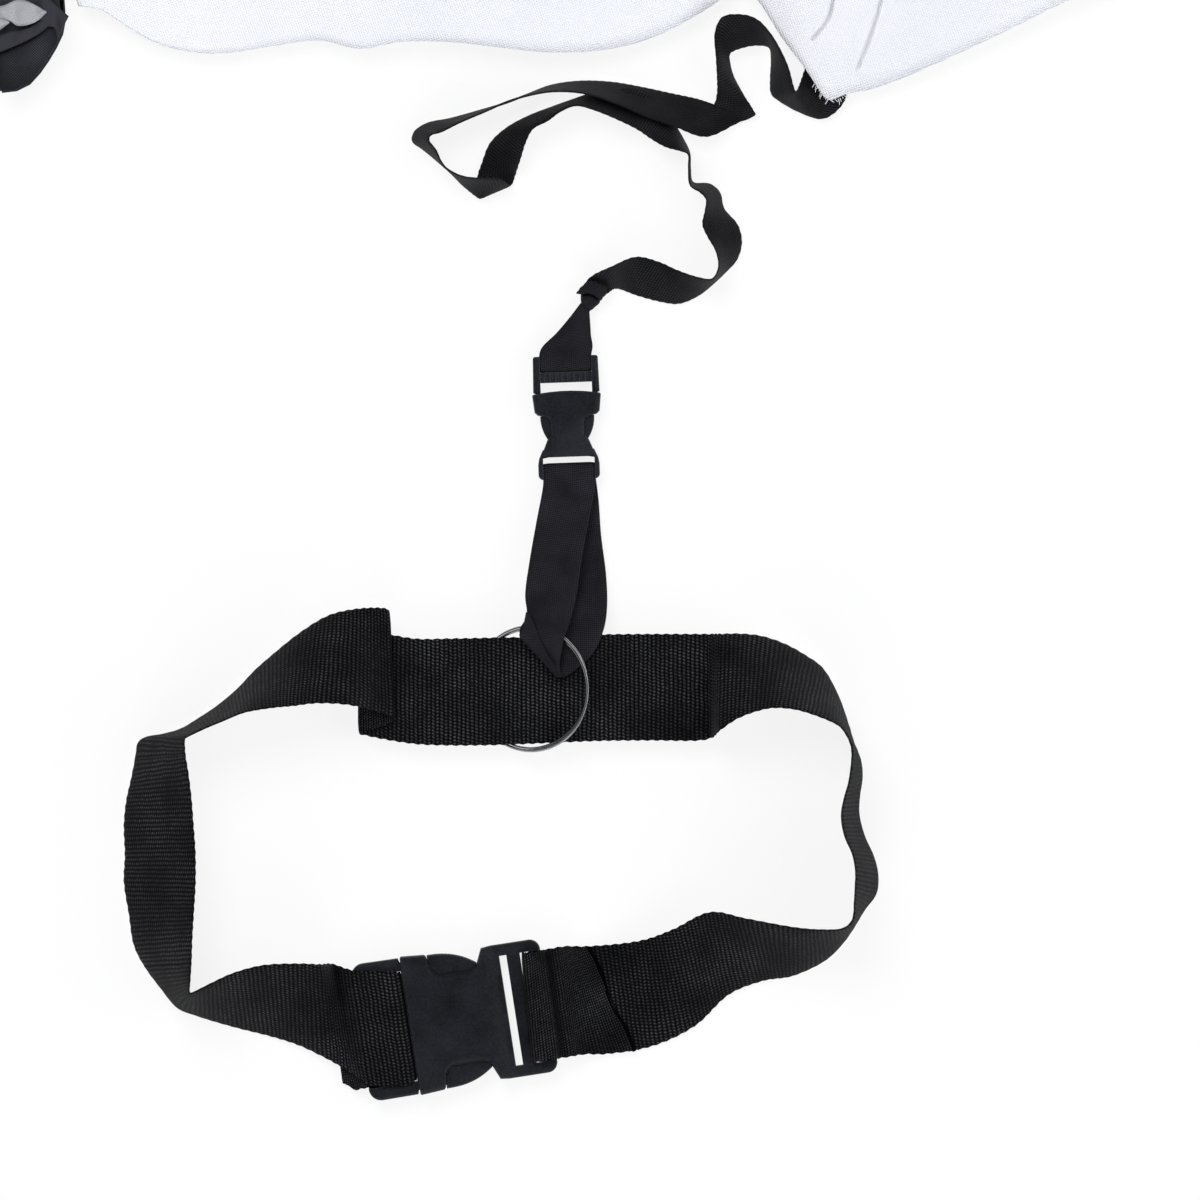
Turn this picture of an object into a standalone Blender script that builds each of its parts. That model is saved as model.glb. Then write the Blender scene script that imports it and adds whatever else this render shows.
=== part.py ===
"""A speed parachute laid out on the floor, seen from above as a buyer would unpack it.

The waist belt lies nearest, its webbing standing on edge in a loose loop that a side-release
buckle closes. A split ring runs on the belt. A connector strap joins the ring to a small
quick-release buckle, and a thin leader strap goes on from there to the apex of four mesh panels,
which end at the hems of a square nylon canopy. The canopy is folded in half on the floor.

Metres, +Z up, +X to the right and +Y from the belt to the canopy.
"""

import math

import bmesh
import bpy
import numpy as np
from mathutils import Matrix, Vector

# Layout: one unit of the floor plan's grid, and the grid point that lies at the origin
GRID = 0.044
ORIGIN_RIGHT_SHARE = 9.8034
ORIGIN_DOWN_SHARE = -2.0993
GAP = 0.0003
OVERRUN = 0.002

# Webbing, as width and thickness
BELT_WIDTH = 0.0485
BELT_THICKNESS = 0.0016
CONNECTOR_WIDTH = 0.023
CONNECTOR_THICKNESS = 0.0012
LEADER_WIDTH = 0.020
LEADER_THICKNESS = 0.001
# The width, in grid units, that the tables of edges are drawn for
BELT_DRAWN_SHARE = 1.10
CONNECTOR_DRAWN_SHARE = 0.52
LEADER_DRAWN_SHARE = 0.455
BELT_LIFT = 0.0126

# Split ring on the belt
RING_DIAMETER = 0.057
RING_WIRE = 0.0016
RING_PITCH = 0.0021
RING_TURNS = 1.9
RING_TILT = math.radians(22)
RING_RAISE = 0.0005
RING_PLACE_SHARES = (5.30, 6.90)
RING_START = math.radians(225)
RING_STEPS = 40
RING_SIDES = 8

# Canopy and mesh panels
CANOPY_THICKNESS = 0.0010
MESH_THICKNESS = 0.0010
HEM_WIDTH = 0.018
HEM_THICKNESS = 0.0009
SHEET_CLEARANCE = 0.0009
WAVE_HEIGHT = 0.006

# Steps of a smooth line between two rows of its table
STRAP_STEPS = 3
LEADER_STEPS = 2
LINE_STEPS = 8

GOING_UP = 1
LYING = 0
GOING_DOWN = -1


def place(right, down, height=0):
    """The world point of a place in the plan, counted in grid units from its top left corner."""
    return Vector(
        ((right - ORIGIN_RIGHT_SHARE) * GRID, (ORIGIN_DOWN_SHARE - down) * GRID, height)
    )


def clear_scene():
    for obj in list(bpy.data.objects):
        bpy.data.objects.remove(obj, do_unlink=True)


def finish_material(name, colour, roughness, metallic=0):
    """A Principled material in one colour."""
    made = bpy.data.materials.get(name)
    if made is None:
        made = bpy.data.materials.new(name)
        made.use_nodes = True
        shader = made.node_tree.nodes["Principled BSDF"]
        shader.inputs["Base Color"].default_value = (*colour, 1)
        shader.inputs["Roughness"].default_value = roughness
        shader.inputs["Metallic"].default_value = metallic
    return made


def webbing_material():
    return finish_material("black_webbing", (0.035, 0.036, 0.042), 0.85)


def buckle_material():
    return finish_material("black_acetal", (0.045, 0.047, 0.055), 0.45)


def ring_material():
    return finish_material("nickel_wire", (0.72, 0.72, 0.74), 0.18, 1)


def mesh_material():
    return finish_material("white_mesh", (0.85, 0.86, 0.90), 0.8)


def canopy_material():
    return finish_material("black_nylon", (0.03, 0.032, 0.04), 0.6)


def add_object(name, mesh, material, parent=None):
    obj = bpy.data.objects.new(name, mesh)
    bpy.context.scene.collection.objects.link(obj)
    mesh.materials.append(material)
    obj.parent = parent
    return obj


def add_empty(name, location, turn=0):
    empty = bpy.data.objects.new(name, None)
    bpy.context.scene.collection.objects.link(empty)
    empty.location = location
    empty.rotation_euler = (0, 0, turn)
    return empty


def mesh_of_rings(name, rings):
    """A closed solid through rings of equally many points, with capped ends."""
    shape = bmesh.new()
    rows = [[shape.verts.new(point) for point in ring] for ring in rings]
    count = len(rows[0])
    for one, two in zip(rows, rows[1:]):
        for i in range(count):
            j = (i + 1) % count
            shape.faces.new((one[i], one[j], two[j], two[i]))
    shape.faces.new(list(reversed(rows[0])))
    shape.faces.new(rows[-1])
    bmesh.ops.recalc_face_normals(shape, faces=shape.faces)
    mesh = bpy.data.meshes.new(name)
    shape.to_mesh(mesh)
    shape.free()
    return mesh


def smooth(mesh, degrees=40):
    mesh.shade_smooth()
    mesh.set_sharp_from_angle(angle=math.radians(degrees))
    return mesh


def spline(rows, steps):
    """Rows read from a centripetal Catmull-Rom curve through the given rows of numbers."""
    rows = np.asarray(rows, float)
    rows = np.vstack([2 * rows[0] - rows[1], rows, 2 * rows[-1] - rows[-2]])
    knots = np.concatenate([[0], np.cumsum(np.linalg.norm(np.diff(rows, axis=0), axis=1) ** 0.5)])
    made = []
    for i in range(1, len(rows) - 2):
        p, k = rows[i - 1 : i + 3], knots[i - 1 : i + 3]
        for t in np.linspace(k[1], k[2], steps, endpoint=False):
            a = [
                ((k[j + 1] - t) * p[j] + (t - k[j]) * p[j + 1]) / (k[j + 1] - k[j])
                for j in range(3)
            ]
            b = [
                ((k[j + 2] - t) * a[j] + (t - k[j]) * a[j + 1]) / (k[j + 2] - k[j])
                for j in range(2)
            ]
            made.append(((k[2] - t) * b[0] + (t - k[1]) * b[1]) / (k[2] - k[1]))
    made.append(rows[-2])
    return np.array(made)


def edge_rows(table_shares, width, drawn_share):
    """Both edges of a strap at each row of a table, as six numbers in metres.

    A row holds the plan place of edge a, that of edge b, the height of the lower edge, and the
    lean. GOING_UP or GOING_DOWN stands edge b above or below edge a by what is left of the width.
    Any other lean is the share of the width by which b is above a.
    """
    rows = []
    for a_right, a_down, b_right, b_down, low, lean in table_shares:
        a, b = place(a_right, a_down), place(b_right, b_down)
        middle, across = (a + b) / 2, (b - a) / GRID / drawn_share * width
        rise = lean * width
        if lean in (GOING_UP, GOING_DOWN):
            rise = lean * math.sqrt(max(width**2 - across.length_squared, 0))
        middle.z = low * GRID + abs(rise) / 2
        across.z = rise
        rows.append([*(middle - across / 2), *(middle + across / 2)])
    return rows


def strap_mesh(name, rows, thickness):
    """A strap of rectangular section between two edge lines."""
    rows = np.asarray(rows, float)
    a, b = rows[:, :3], rows[:, 3:]
    middle = (a + b) / 2
    along = np.gradient(middle, axis=0)
    normal = np.cross(along, b - a)
    normal *= thickness / 2 / np.linalg.norm(normal, axis=1)[:, None]
    rings = np.stack([a + normal, b + normal, b - normal, a - normal], axis=1)
    return mesh_of_rings(name, [[Vector(point) for point in ring] for ring in rings])


class BeltBuckle:
    """The sizes of the wide buckle. X runs from the mouth of the shell into it, Z is from mid height."""

    name = "belt_buckle"
    middle_shares = (4.105, 10.26)
    turn = math.radians(7.5)
    height = 0.0070
    webbing_width = BELT_WIDTH
    # Shell: half width, half height and length of each stretch
    collar_half = 0.0300
    collar_length = 0.0118
    collar_taper = 0.0012
    window_half = 0.0222
    window_end = 0.0325
    frame_half = 0.0293
    frame_start = 0.0362
    shell_length = 0.0630
    shell_half_height = 0.0063
    frame_half_height = 0.0036
    wall = 0.0020
    cavity_depth = 0.0375
    slot_start = 0.0440
    slot_end = 0.0469
    end_slot_start = 0.0513
    end_bar_start = 0.0562
    end_bar_length = 0.0046
    end_bar_half_height = 0.0020
    # Frame: the bars lie at negative X, outside the mouth
    frame_reach = 0.0192
    outer_bar_length = 0.0048
    outer_bar_top = 0.0004
    inner_bar_start = 0.0072
    inner_bar_length = 0.0043
    inner_bar_half_height = 0.0022
    rail_taper = 0.0030
    mouth_gap = 0.0004
    neck_bar = 0.0022
    neck_half = 0.0170
    neck_length = 0.0080
    tongue_half = 0.0050
    tongue_half_height = 0.0020
    tongue_length = 0.0300
    # Prongs
    prong_half_height = 0.0038
    pivot_along = 0.0046
    pivot_across = 0.0235
    pivot_radius = 0.0019
    arm_thickness = 0.0026
    tab_end = 0.0318
    tab_drop = 0.0049
    grooves = 0
    groove_width = 0.0008
    groove_depth = 0.0005


class QuickBuckle:
    """The sizes of the narrow buckle, on the same axes as the wide one."""

    name = "quick_buckle"
    middle_shares = (5.665, 3.94)
    turn = math.radians(-88)
    height = 0.0058
    webbing_width = CONNECTOR_WIDTH
    collar_half = 0.0149
    collar_length = 0.0092
    collar_taper = 0.0008
    window_half = 0.0093
    window_end = 0.0205
    frame_half = 0.0136
    frame_start = 0.0262
    shell_length = 0.0386
    shell_half_height = 0.0052
    frame_half_height = 0.0032
    wall = 0.0014
    cavity_depth = 0.0245
    slot_start = 0.0278
    slot_end = 0.0278
    end_slot_start = 0.0278
    end_bar_start = 0.0323
    end_bar_length = 0.0036
    end_bar_half_height = 0.0014
    frame_reach = 0.0163
    outer_bar_length = 0.0036
    outer_bar_top = 0.0014
    inner_bar_start = 0.0091
    inner_bar_length = 0.0049
    inner_bar_half_height = 0.0022
    rail_taper = 0.0008
    mouth_gap = 0.0004
    neck_bar = 0.0016
    neck_half = 0.0070
    neck_length = 0.0055
    tongue_half = 0.0030
    tongue_half_height = 0.0014
    tongue_length = 0.0190
    prong_half_height = 0.0031
    pivot_along = 0.0033
    pivot_across = 0.0106
    pivot_radius = 0.0013
    arm_thickness = 0.0018
    tab_end = 0.0200
    tab_drop = 0.0052
    grooves = 8
    groove_width = 0.0008
    groove_depth = 0.0005


RAIL_CLEARANCE = 0.0007
MOUTH_CLEARANCE = 0.0004
SHOULDER_CLEARANCE = 0.0005
WEBBING_CLEARANCE = 0.0003
CORNER_SHARE = 0.45
CORNER_STEPS = 3
# How a strap turns round a bar, as shares of the turn's depth and half height
BEND_EASE_SHARE = 0.2
BEND_RISE_SHARE = 0.7
# The small chamfers of a buckle, as a share of its wall
EDGE_SHARE = 0.25


def section(along, half, half_height):
    """A rounded rectangle across X, as points."""
    radius = CORNER_SHARE * half_height
    made = []
    for quarter, (side, up) in enumerate(((1, 1), (-1, 1), (-1, -1), (1, -1))):
        for step in range(CORNER_STEPS):
            angle = (quarter + step / (CORNER_STEPS - 1)) * math.pi / 2
            y = side * (half - radius) + radius * math.cos(angle)
            z = up * (half_height - radius) + radius * math.sin(angle)
            made.append((along, y, z))
    return made


def box_mesh(name, low, high):
    """A cuboid between two corners."""
    shape = bmesh.new()
    bmesh.ops.create_cube(shape, size=1)
    for vert in shape.verts:
        vert.co = Vector(
            [l + (share + 0.5) * (h - l) for share, l, h in zip(vert.co, low, high)]
        )
    mesh = bpy.data.meshes.new(name)
    shape.to_mesh(mesh)
    shape.free()
    return mesh


def cut_boxes(obj, boxes):
    """Cuts boxes, given by their corners, from a solid that shares their parent."""
    for index, (low, high) in enumerate(boxes):
        cutter = add_object(
            f"{obj.name}_cutter_{index}",
            box_mesh(f"{obj.name}_cutter_{index}", low, high),
            buckle_material(),
            obj.parent,
        )
        cutter.location = obj.location
        cutter.hide_render = True
        cutter.display_type = "WIRE"
        modifier = obj.modifiers.new(cutter.name, "BOOLEAN")
        modifier.operation = "DIFFERENCE"
        modifier.object = cutter


def slot_box(size, start, end):
    half = size.webbing_width / 2 + RAIL_CLEARANCE
    tall = size.shell_half_height + OVERRUN
    return (start, -half, -tall), (end, half, tall)


def buckle_shell(size, parent):
    """The hollow half: a collar at the mouth, open side windows, then a frame with the end bar."""
    thin = size.frame_half_height
    tall = size.shell_half_height
    step = size.wall * EDGE_SHARE
    collar_end = size.collar_half - size.collar_taper
    body_end = size.cavity_depth + size.wall
    profile = [
        (0, size.collar_half - step, tall - step),
        (step, size.collar_half, tall),
        (size.collar_length - step, collar_end, tall),
        (size.collar_length, collar_end - step, tall),
        (size.collar_length + step, size.window_half + size.wall, tall),
        (size.collar_length + 2 * size.wall, size.window_half, tall),
        (size.window_end - size.wall, size.window_half, tall),
        (size.window_end, size.window_half + step, tall),
        ((size.window_end + size.frame_start) / 2, (size.window_half + size.frame_half) / 2, tall - step),
        (size.frame_start, size.frame_half - step, tall - 2 * step),
        (body_end, size.frame_half, (tall + thin) / 2),
        (body_end + size.wall, size.frame_half, thin),
        (size.shell_length - size.wall, size.frame_half, thin),
        (size.shell_length, size.frame_half - size.wall, thin - step),
    ]
    rings = [section(*row) for row in sorted(profile)]
    mesh = smooth(mesh_of_rings(f"{size.name}_shell", rings))
    obj = add_object(f"{size.name}_shell", mesh, buckle_material(), parent)
    inner = size.collar_half - size.wall
    cavity = tall - size.wall
    bar_half = size.webbing_width / 2 + RAIL_CLEARANCE
    bar_tall = size.end_bar_half_height
    over = size.shell_length + OVERRUN
    boxes = [
        ((-OVERRUN, -inner, -cavity), (size.cavity_depth, inner, cavity)),
        slot_box(size, size.end_slot_start, size.end_bar_start),
        ((size.end_bar_start - OVERRUN, -bar_half, bar_tall), (over, bar_half, tall + OVERRUN)),
        ((size.end_bar_start - OVERRUN, -bar_half, -tall - OVERRUN), (over, bar_half, -bar_tall)),
        slot_box(size, size.end_bar_start + size.end_bar_length, over),
    ]
    if size.slot_end > size.slot_start:
        boxes.append(slot_box(size, size.slot_start, size.slot_end))
    cut_boxes(obj, boxes)
    return obj


def grip_grooves(size, inner_end, over):
    """The grooves that leave ribs on the inner bar of the frame, as boxes to cut."""
    low = size.inner_bar_half_height - size.groove_depth
    pitch = size.webbing_width / (size.grooves + 1)
    middles = [pitch * (i + 1) - size.webbing_width / 2 for i in range(size.grooves)]
    reach = size.wall * EDGE_SHARE
    return [
        (
            (-size.inner_bar_start - reach, y - size.groove_width / 2, low),
            (inner_end + reach, y + size.groove_width / 2, over),
        )
        for y in middles
    ]


def buckle_frame(size, parent):
    """The plug half: rails and bars for the webbing, a neck inside the mouth and a guide tongue."""
    tall = size.shell_half_height - size.wall - MOUTH_CLEARANCE
    rail_tall = size.frame_half_height
    inner = size.collar_half - size.wall - MOUTH_CLEARANCE
    reach, gap = size.frame_reach, size.mouth_gap
    step = size.wall * EDGE_SHARE
    profile = [
        (-reach, size.collar_half - size.rail_taper, rail_tall - step),
        (-reach + size.rail_taper, size.collar_half - step, rail_tall),
        (-gap - step, size.collar_half - step, rail_tall),
        (-gap, inner, rail_tall),
        (gap, inner, tall),
        (size.neck_bar, inner, tall),
        (size.neck_bar + step, size.neck_half, tall),
        (size.neck_length, size.neck_half - step, tall - step),
        (size.neck_length + step, size.tongue_half, size.tongue_half_height),
        (size.tongue_length - size.wall, size.tongue_half, size.tongue_half_height),
        (size.tongue_length, size.tongue_half - size.wall, size.tongue_half_height - step),
    ]
    mesh = smooth(mesh_of_rings(f"{size.name}_frame", [section(*row) for row in profile]))
    obj = add_object(f"{size.name}_frame", mesh, buckle_material(), parent)
    half = size.webbing_width / 2 + RAIL_CLEARANCE
    over = rail_tall + OVERRUN
    outer_end = -reach + size.outer_bar_length
    inner_end = -size.inner_bar_start + size.inner_bar_length
    low_bar = -size.inner_bar_half_height
    cut_boxes(
        obj,
        [
            ((outer_end, -half, -over), (-size.inner_bar_start, half, over)),
            ((inner_end, -half, -over), (-gap, half, over)),
            ((-reach - OVERRUN, -half, size.outer_bar_top), (outer_end + step, half, over)),
            ((-reach - OVERRUN, -half, -over), (outer_end + step, half, low_bar)),
            ((-size.inner_bar_start - step, -half, -low_bar), (inner_end + step, half, over)),
            ((-size.inner_bar_start - step, -half, -over), (inner_end + step, half, low_bar)),
        ]
        + grip_grooves(size, inner_end, over),
    )
    return obj


def buckle_prong(size, side, label, parent):
    """One spring arm with its outer tab, hooked behind the collar. Its origin is where it flexes."""
    x, y = size.pivot_along, size.pivot_across
    shoulder = size.collar_length + SHOULDER_CLEARANCE
    inside = size.collar_half - size.wall - MOUTH_CLEARANCE
    outer = size.collar_half - size.collar_taper / 2
    thick = size.arm_thickness
    outline = [
        (x + size.pivot_radius * math.cos(angle), y + size.pivot_radius * math.sin(angle))
        for angle in np.linspace(math.pi / 2, 3 * math.pi / 2, 5)
    ]
    span = size.tab_end - shoulder
    outline += [
        (shoulder, inside - thick * 1.5),
        (shoulder + span / 2, outer - size.tab_drop / 3 - thick * 1.6),
        (size.tab_end - thick / 3, outer - size.tab_drop - thick / 2),
        (size.tab_end, outer - size.tab_drop),
        (shoulder + span * 3 / 4, outer - size.tab_drop / 2),
        (shoulder + span / 3, outer - size.tab_drop / 9),
        (shoulder, outer),
        (shoulder, inside),
    ]
    tall = size.prong_half_height
    top = tall * 3 / 4
    rings = []
    for height, shrink in ((-tall, 1), (-top, 0), (top, 0), (tall, 1)):
        middle = Vector((sum(p[0] for p in outline), sum(p[1] for p in outline))) / len(outline)
        ring = []
        for point in outline:
            inward = (middle - Vector(point)).normalized() * shrink * (tall - top) / 2
            px, py = Vector(point) + inward
            ring.append((px - x, side * (py - y), height))
        rings.append(ring)
    mesh = smooth(mesh_of_rings(f"{size.name}_prong_{label}", rings))
    obj = add_object(f"{size.name}_prong_{label}", mesh, buckle_material(), parent)
    obj.location = (x, side * y, 0)
    return obj


def build_buckle(size):
    """Both halves of a buckle, closed. Returns the shell's empty and the frame's empty."""
    location = place(*size.middle_shares, size.height)
    shell_axis = add_empty(f"{size.name}_shell_axis", location, size.turn)
    frame_axis = add_empty(f"{size.name}_frame_axis", location, size.turn)
    buckle_shell(size, shell_axis)
    buckle_frame(size, frame_axis)
    buckle_prong(size, 1, "a", frame_axis)
    buckle_prong(size, -1, "b", frame_axis)
    return shell_axis, frame_axis


def buckle_row(size, along, height, skew=0):
    """Both edges of a strap across a buckle, at a distance along it and above its middle."""
    half = size.webbing_width / 2
    turn = Matrix.Rotation(size.turn, 3, "Z")
    middle = place(*size.middle_shares, size.height)
    a = middle + turn @ Vector((along + skew, -half, height))
    b = middle + turn @ Vector((along - skew, half, height))
    return [*a, *b]


def bend_rows(size, bar, near, high, low):
    """A strap's turn beside a bar: from the height over it to the height under it."""
    middle, half = (high + low) / 2, (high - low) / 2
    ease = near + (bar - near) * BEND_EASE_SHARE
    return [
        buckle_row(size, ease, middle + half * BEND_RISE_SHARE),
        buckle_row(size, near, middle),
        buckle_row(size, ease, middle - half * BEND_RISE_SHARE),
    ]


def ring_points():
    """The middle line of the ring's wire, a coil of nearly two turns on a tilted axis."""
    radius = (RING_DIAMETER - RING_WIRE) / 2
    count = round(RING_TURNS * RING_STEPS)
    tilt = Matrix.Rotation(-RING_TILT, 3, "Y")
    middle = place(*RING_PLACE_SHARES, BELT_LIFT + RING_RAISE)
    made = []
    for i in range(count + 1):
        turns = RING_TURNS * i / count
        angle = turns * 2 * math.pi + RING_START
        rise = RING_PITCH * (turns - RING_TURNS / 2)
        made.append(middle + tilt @ Vector((radius * math.cos(angle), radius * math.sin(angle), rise)))
    return made


def tube_rings(points, radius, sides):
    """Rings of a round tube along a line of points."""
    rings = []
    for i, point in enumerate(points):
        ahead = points[min(i + 1, len(points) - 1)]
        behind = points[max(i - 1, 0)]
        along = (ahead - behind).normalized()
        side = along.cross(Vector((0, 0, 1))).normalized()
        up = side.cross(along)
        rings.append(
            [
                point + radius * (math.cos(angle) * side + math.sin(angle) * up)
                for angle in np.linspace(0, 2 * math.pi, sides, endpoint=False)
            ]
        )
    return rings


def build_ring(parent):
    """The split ring that runs on the belt."""
    middle = Vector(parent.location)
    rings = tube_rings(ring_points(), RING_WIRE / 2, RING_SIDES)
    rings = [[point - middle for point in ring] for ring in rings]
    add_object("split_ring", smooth(mesh_of_rings("split_ring", rings), 60), ring_material(), parent)


# The belt from the shell of its buckle, by the right side, to the pleat in its back run
BELT_RIGHT_SHARES = [
    (6.55, 10.45, 6.40, 9.38, 0.03, GOING_UP),
    (6.95, 10.255, 6.72, 9.27, 0.03, GOING_UP),
    (7.29, 9.95, 7.10, 9.11, 0.03, GOING_UP),
    (7.62, 9.81, 7.45, 9.16, 0.03, GOING_UP),
    (7.95, 9.75, 7.93, 9.245, 0.03, GOING_UP),
    (8.27, 9.59, 8.21, 9.27, 0.03, GOING_UP),
    (8.45, 9.40, 8.40, 9.265, 0.03, GOING_UP),
    (8.56, 9.23, 8.515, 9.20, 0.03, GOING_UP),
    (8.65, 9.09, 8.52, 8.98, 0.03, GOING_UP),
    (8.76, 8.94, 8.525, 8.85, 0.03, GOING_UP),
    (8.79, 8.755, 8.53, 8.69, 0.03, GOING_UP),
    (8.76, 8.57, 8.50, 8.52, 0.03, GOING_UP),
    (8.665, 8.36, 8.42, 8.33, 0.03, GOING_UP),
    (8.60, 8.14, 8.40, 8.13, 0.03, GOING_UP),
    (8.60, 7.96, 8.43, 7.96, 0.03, GOING_UP),
    (8.63, 7.775, 8.475, 7.80, 0.03, GOING_UP),
    (8.61, 7.59, 8.50, 7.57, 0.03, GOING_UP),
    (8.54, 7.41, 8.50, 7.43, 0.03, GOING_UP),
    (8.50, 7.22, 8.43, 7.31, 0.04, GOING_UP),
    (8.40, 6.93, 8.34, 7.24, 0.06, GOING_UP),
    (8.24, 6.67, 8.11, 7.15, 0.08, GOING_UP),
    (8.05, 6.54, 7.93, 7.10, 0.11, GOING_UP),
    (7.84, 6.43, 7.72, 7.08, 0.15, GOING_UP),
    (7.62, 6.35, 7.55, 7.12, 0.19, GOING_UP),
    (7.41, 6.33, 7.36, 7.20, 0.23, GOING_UP),
    (7.23, 6.34, 7.20, 7.31, 0.26, GOING_UP),
    (7.09, 6.35, 7.10, 7.43, 0.28, LYING),
]
# The straight back run, where the ring slides: both its edges, then its places from right to left
BACK_EDGES_SHARES = (6.35, 7.45)
BACK_RUN_SHARES = (7.00, 6.50, 6.00, 5.50, 5.00, 4.50, 4.15)
# The pleat: the run turns back on itself twice. The last number counts layers above the run.
PLEAT_SHARES = [
    (3.80, 6.28, 3.80, 7.38, 0.0),
    (3.64, 6.25, 3.64, 7.35, 0.0),
    (3.60, 6.24, 3.60, 7.34, 0.5),
    (3.64, 6.22, 3.64, 7.32, 1.0),
    (3.86, 6.14, 3.89, 7.24, 1.0),
    (3.905, 6.10, 3.95, 7.20, 1.5),
    (3.86, 6.08, 3.89, 7.16, 2.0),
]
PLEAT_STEP = 0.0023
BELT_TOP_LEFT_SHARES = [
    (3.54, 6.09, 3.52, 7.045, 0.36, GOING_UP),
    (3.275, 6.16, 3.20, 7.025, 0.32, GOING_UP),
    (3.00, 6.33, 2.96, 7.05, 0.26, GOING_UP),
    (2.75, 6.53, 2.78, 7.065, 0.20, GOING_UP),
    (2.55, 6.705, 2.60, 7.09, 0.14, GOING_UP),
    (2.38, 6.87, 2.46, 7.12, 0.09, GOING_UP),
    (2.18, 7.04, 2.26, 7.20, 0.05, GOING_UP),
    (1.98, 7.18, 2.10, 7.26, 0.03, GOING_UP),
    (1.80, 7.28, 1.97, 7.32, 0.03, GOING_UP),
    (1.60, 7.335, 1.895, 7.36, 0.03, GOING_UP),
    (1.45, 7.36, 1.87, 7.40, 0.03, GOING_UP),
    (1.385, 7.41, 1.865, 7.46, 0.03, GOING_UP),
]
BELT_SIDE_SHARES = [
    (1.35, 7.60, 1.87, 7.55, 0.03, GOING_UP),
    (1.31, 7.80, 1.90, 7.70, 0.03, GOING_UP),
    (1.26, 8.00, 1.93, 7.95, 0.03, GOING_UP),
    (1.235, 8.25, 1.95, 8.22, 0.03, GOING_UP),
    (1.245, 8.55, 1.98, 8.52, 0.03, GOING_UP),
    (1.235, 8.82, 1.98, 8.82, 0.03, GOING_UP),
    (1.29, 9.14, 1.96, 9.10, 0.03, GOING_UP),
    (1.34, 9.45, 1.955, 9.38, 0.03, GOING_UP),
]
BELT_FRONT_SHARES = [
    (1.445, 9.66, 1.95, 9.60, 0.03, GOING_UP),
    (1.60, 9.87, 1.94, 9.78, 0.03, GOING_UP),
    (1.78, 10.08, 1.94, 9.89, 0.03, GOING_UP),
    (1.95, 10.15, 2.00, 9.87, 0.03, GOING_UP),
    (2.15, 10.215, 2.16, 9.79, 0.03, GOING_UP),
    (2.40, 10.28, 2.36, 9.70, 0.03, GOING_UP),
    (2.70, 10.36, 2.65, 9.63, 0.04, GOING_UP),
    (3.00, 10.50, 2.99, 9.61, 0.07, GOING_UP),
    (3.25, 10.66, 3.20, 9.63, 0.11, GOING_UP),
]
BELT_TAIL_SHARES = [
    (3.50, 10.86, 3.38, 9.80, 0.07, LYING),
    (3.43, 10.84, 3.30, 9.78, 0.05, LYING),
]
# How far from the buckle's mouth the sewn end of the belt lies, and how far its cut runs askew
BELT_FLAP = 0.089
BELT_FLAP_SKEW = 0.0065
# Places along the sewn end, as shares of its length beyond the shell
FLAP_FAR_SHARE = 0.75
FLAP_MIDDLE_SHARE = 0.4
FLAP_NEAR_SHARE = 0.12
# The ways into and out of the frame, as shares of its slot and of the webbing's height over it
FRAME_WAY_IN_SHARES = [(1.4, 0.1), (0.6, 0.7)]
FRAME_WAY_OUT_SHARES = [(0.6, 0.45), (1.4, 1.05)]
# The way across the slot between the bars, under the inner one and then over the outer one
SLOT_UNDER_SHARES = (0.3, 0.8)
SLOT_OVER_SHARES = (0.75, 0.45)

CONNECTOR_REAR_SHARES = [
    (5.46, 5.00, 5.985, 5.00, 0.05, LYING),
    (5.50, 5.35, 6.01, 5.35, 0.07, LYING),
    (5.55, 5.75, 6.06, 5.75, 0.10, LYING),
    (5.60, 6.05, 6.07, 6.07, 0.25, LYING),
    (5.65, 6.22, 6.03, 6.25, 0.33, LYING),
    (5.66, 6.42, 5.95, 6.48, 0.345, LYING),
    (5.62, 6.60, 5.82, 6.62, 0.34, LYING),
    (5.54, 6.73, 5.66, 6.71, 0.36, LYING),
]
CONNECTOR_FRONT_SHARES = [
    (5.50, 6.68, 5.62, 6.64, 0.40, LYING),
    (5.40, 6.55, 5.63, 6.50, 0.455, 0.08),
    (5.22, 6.36, 5.655, 6.36, 0.44, 0.18),
    (5.27, 6.16, 5.71, 6.18, 0.42, 0.10),
    (5.255, 5.95, 5.76, 5.97, 0.36, 0.04),
    (5.30, 5.60, 5.82, 5.58, 0.28, LYING),
    (5.37, 5.20, 5.89, 5.20, 0.22, LYING),
    (5.43, 4.88, 5.95, 4.88, 0.19, LYING),
]
TAB_TOP_SHARES = [
    (5.779, 3.086, 5.903, 3.146, 0.15, LYING),
    (5.68, 3.20, 5.905, 3.28, 0.16, LYING),
    (5.56, 3.34, 5.91, 3.36, 0.17, LYING),
    (5.42, 3.48, 5.925, 3.47, 0.18, LYING),
]
TAB_UNDER_SHARES = [
    (5.42, 3.48, 5.925, 3.47, 0.06, LYING),
    (5.56, 3.34, 5.91, 3.36, 0.06, LYING),
    (5.68, 3.20, 5.905, 3.28, 0.07, LYING),
    (5.779, 3.086, 5.903, 3.146, 0.10, LYING),
]
KNOT_SHARES = (5.875, 3.035)
KNOT_TURN = math.radians(64)
KNOT_LENGTH = 0.0070
KNOT_WIDTH = 0.0125
KNOT_HEIGHT = 0.0080
KNOT_WRAPS = 2
# The middle of the knot over the floor as a share of its height, then how full it is at its waists,
# how much its wraps add and how much its ends lose
KNOT_LIFT_SHARE = 0.65
KNOT_WAIST_SHARE = 0.72
KNOT_WRAP_SHARE = 0.28
KNOT_END_SHARE = 0.25
KNOT_RINGS = 15
KNOT_SIDES = 16

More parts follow.
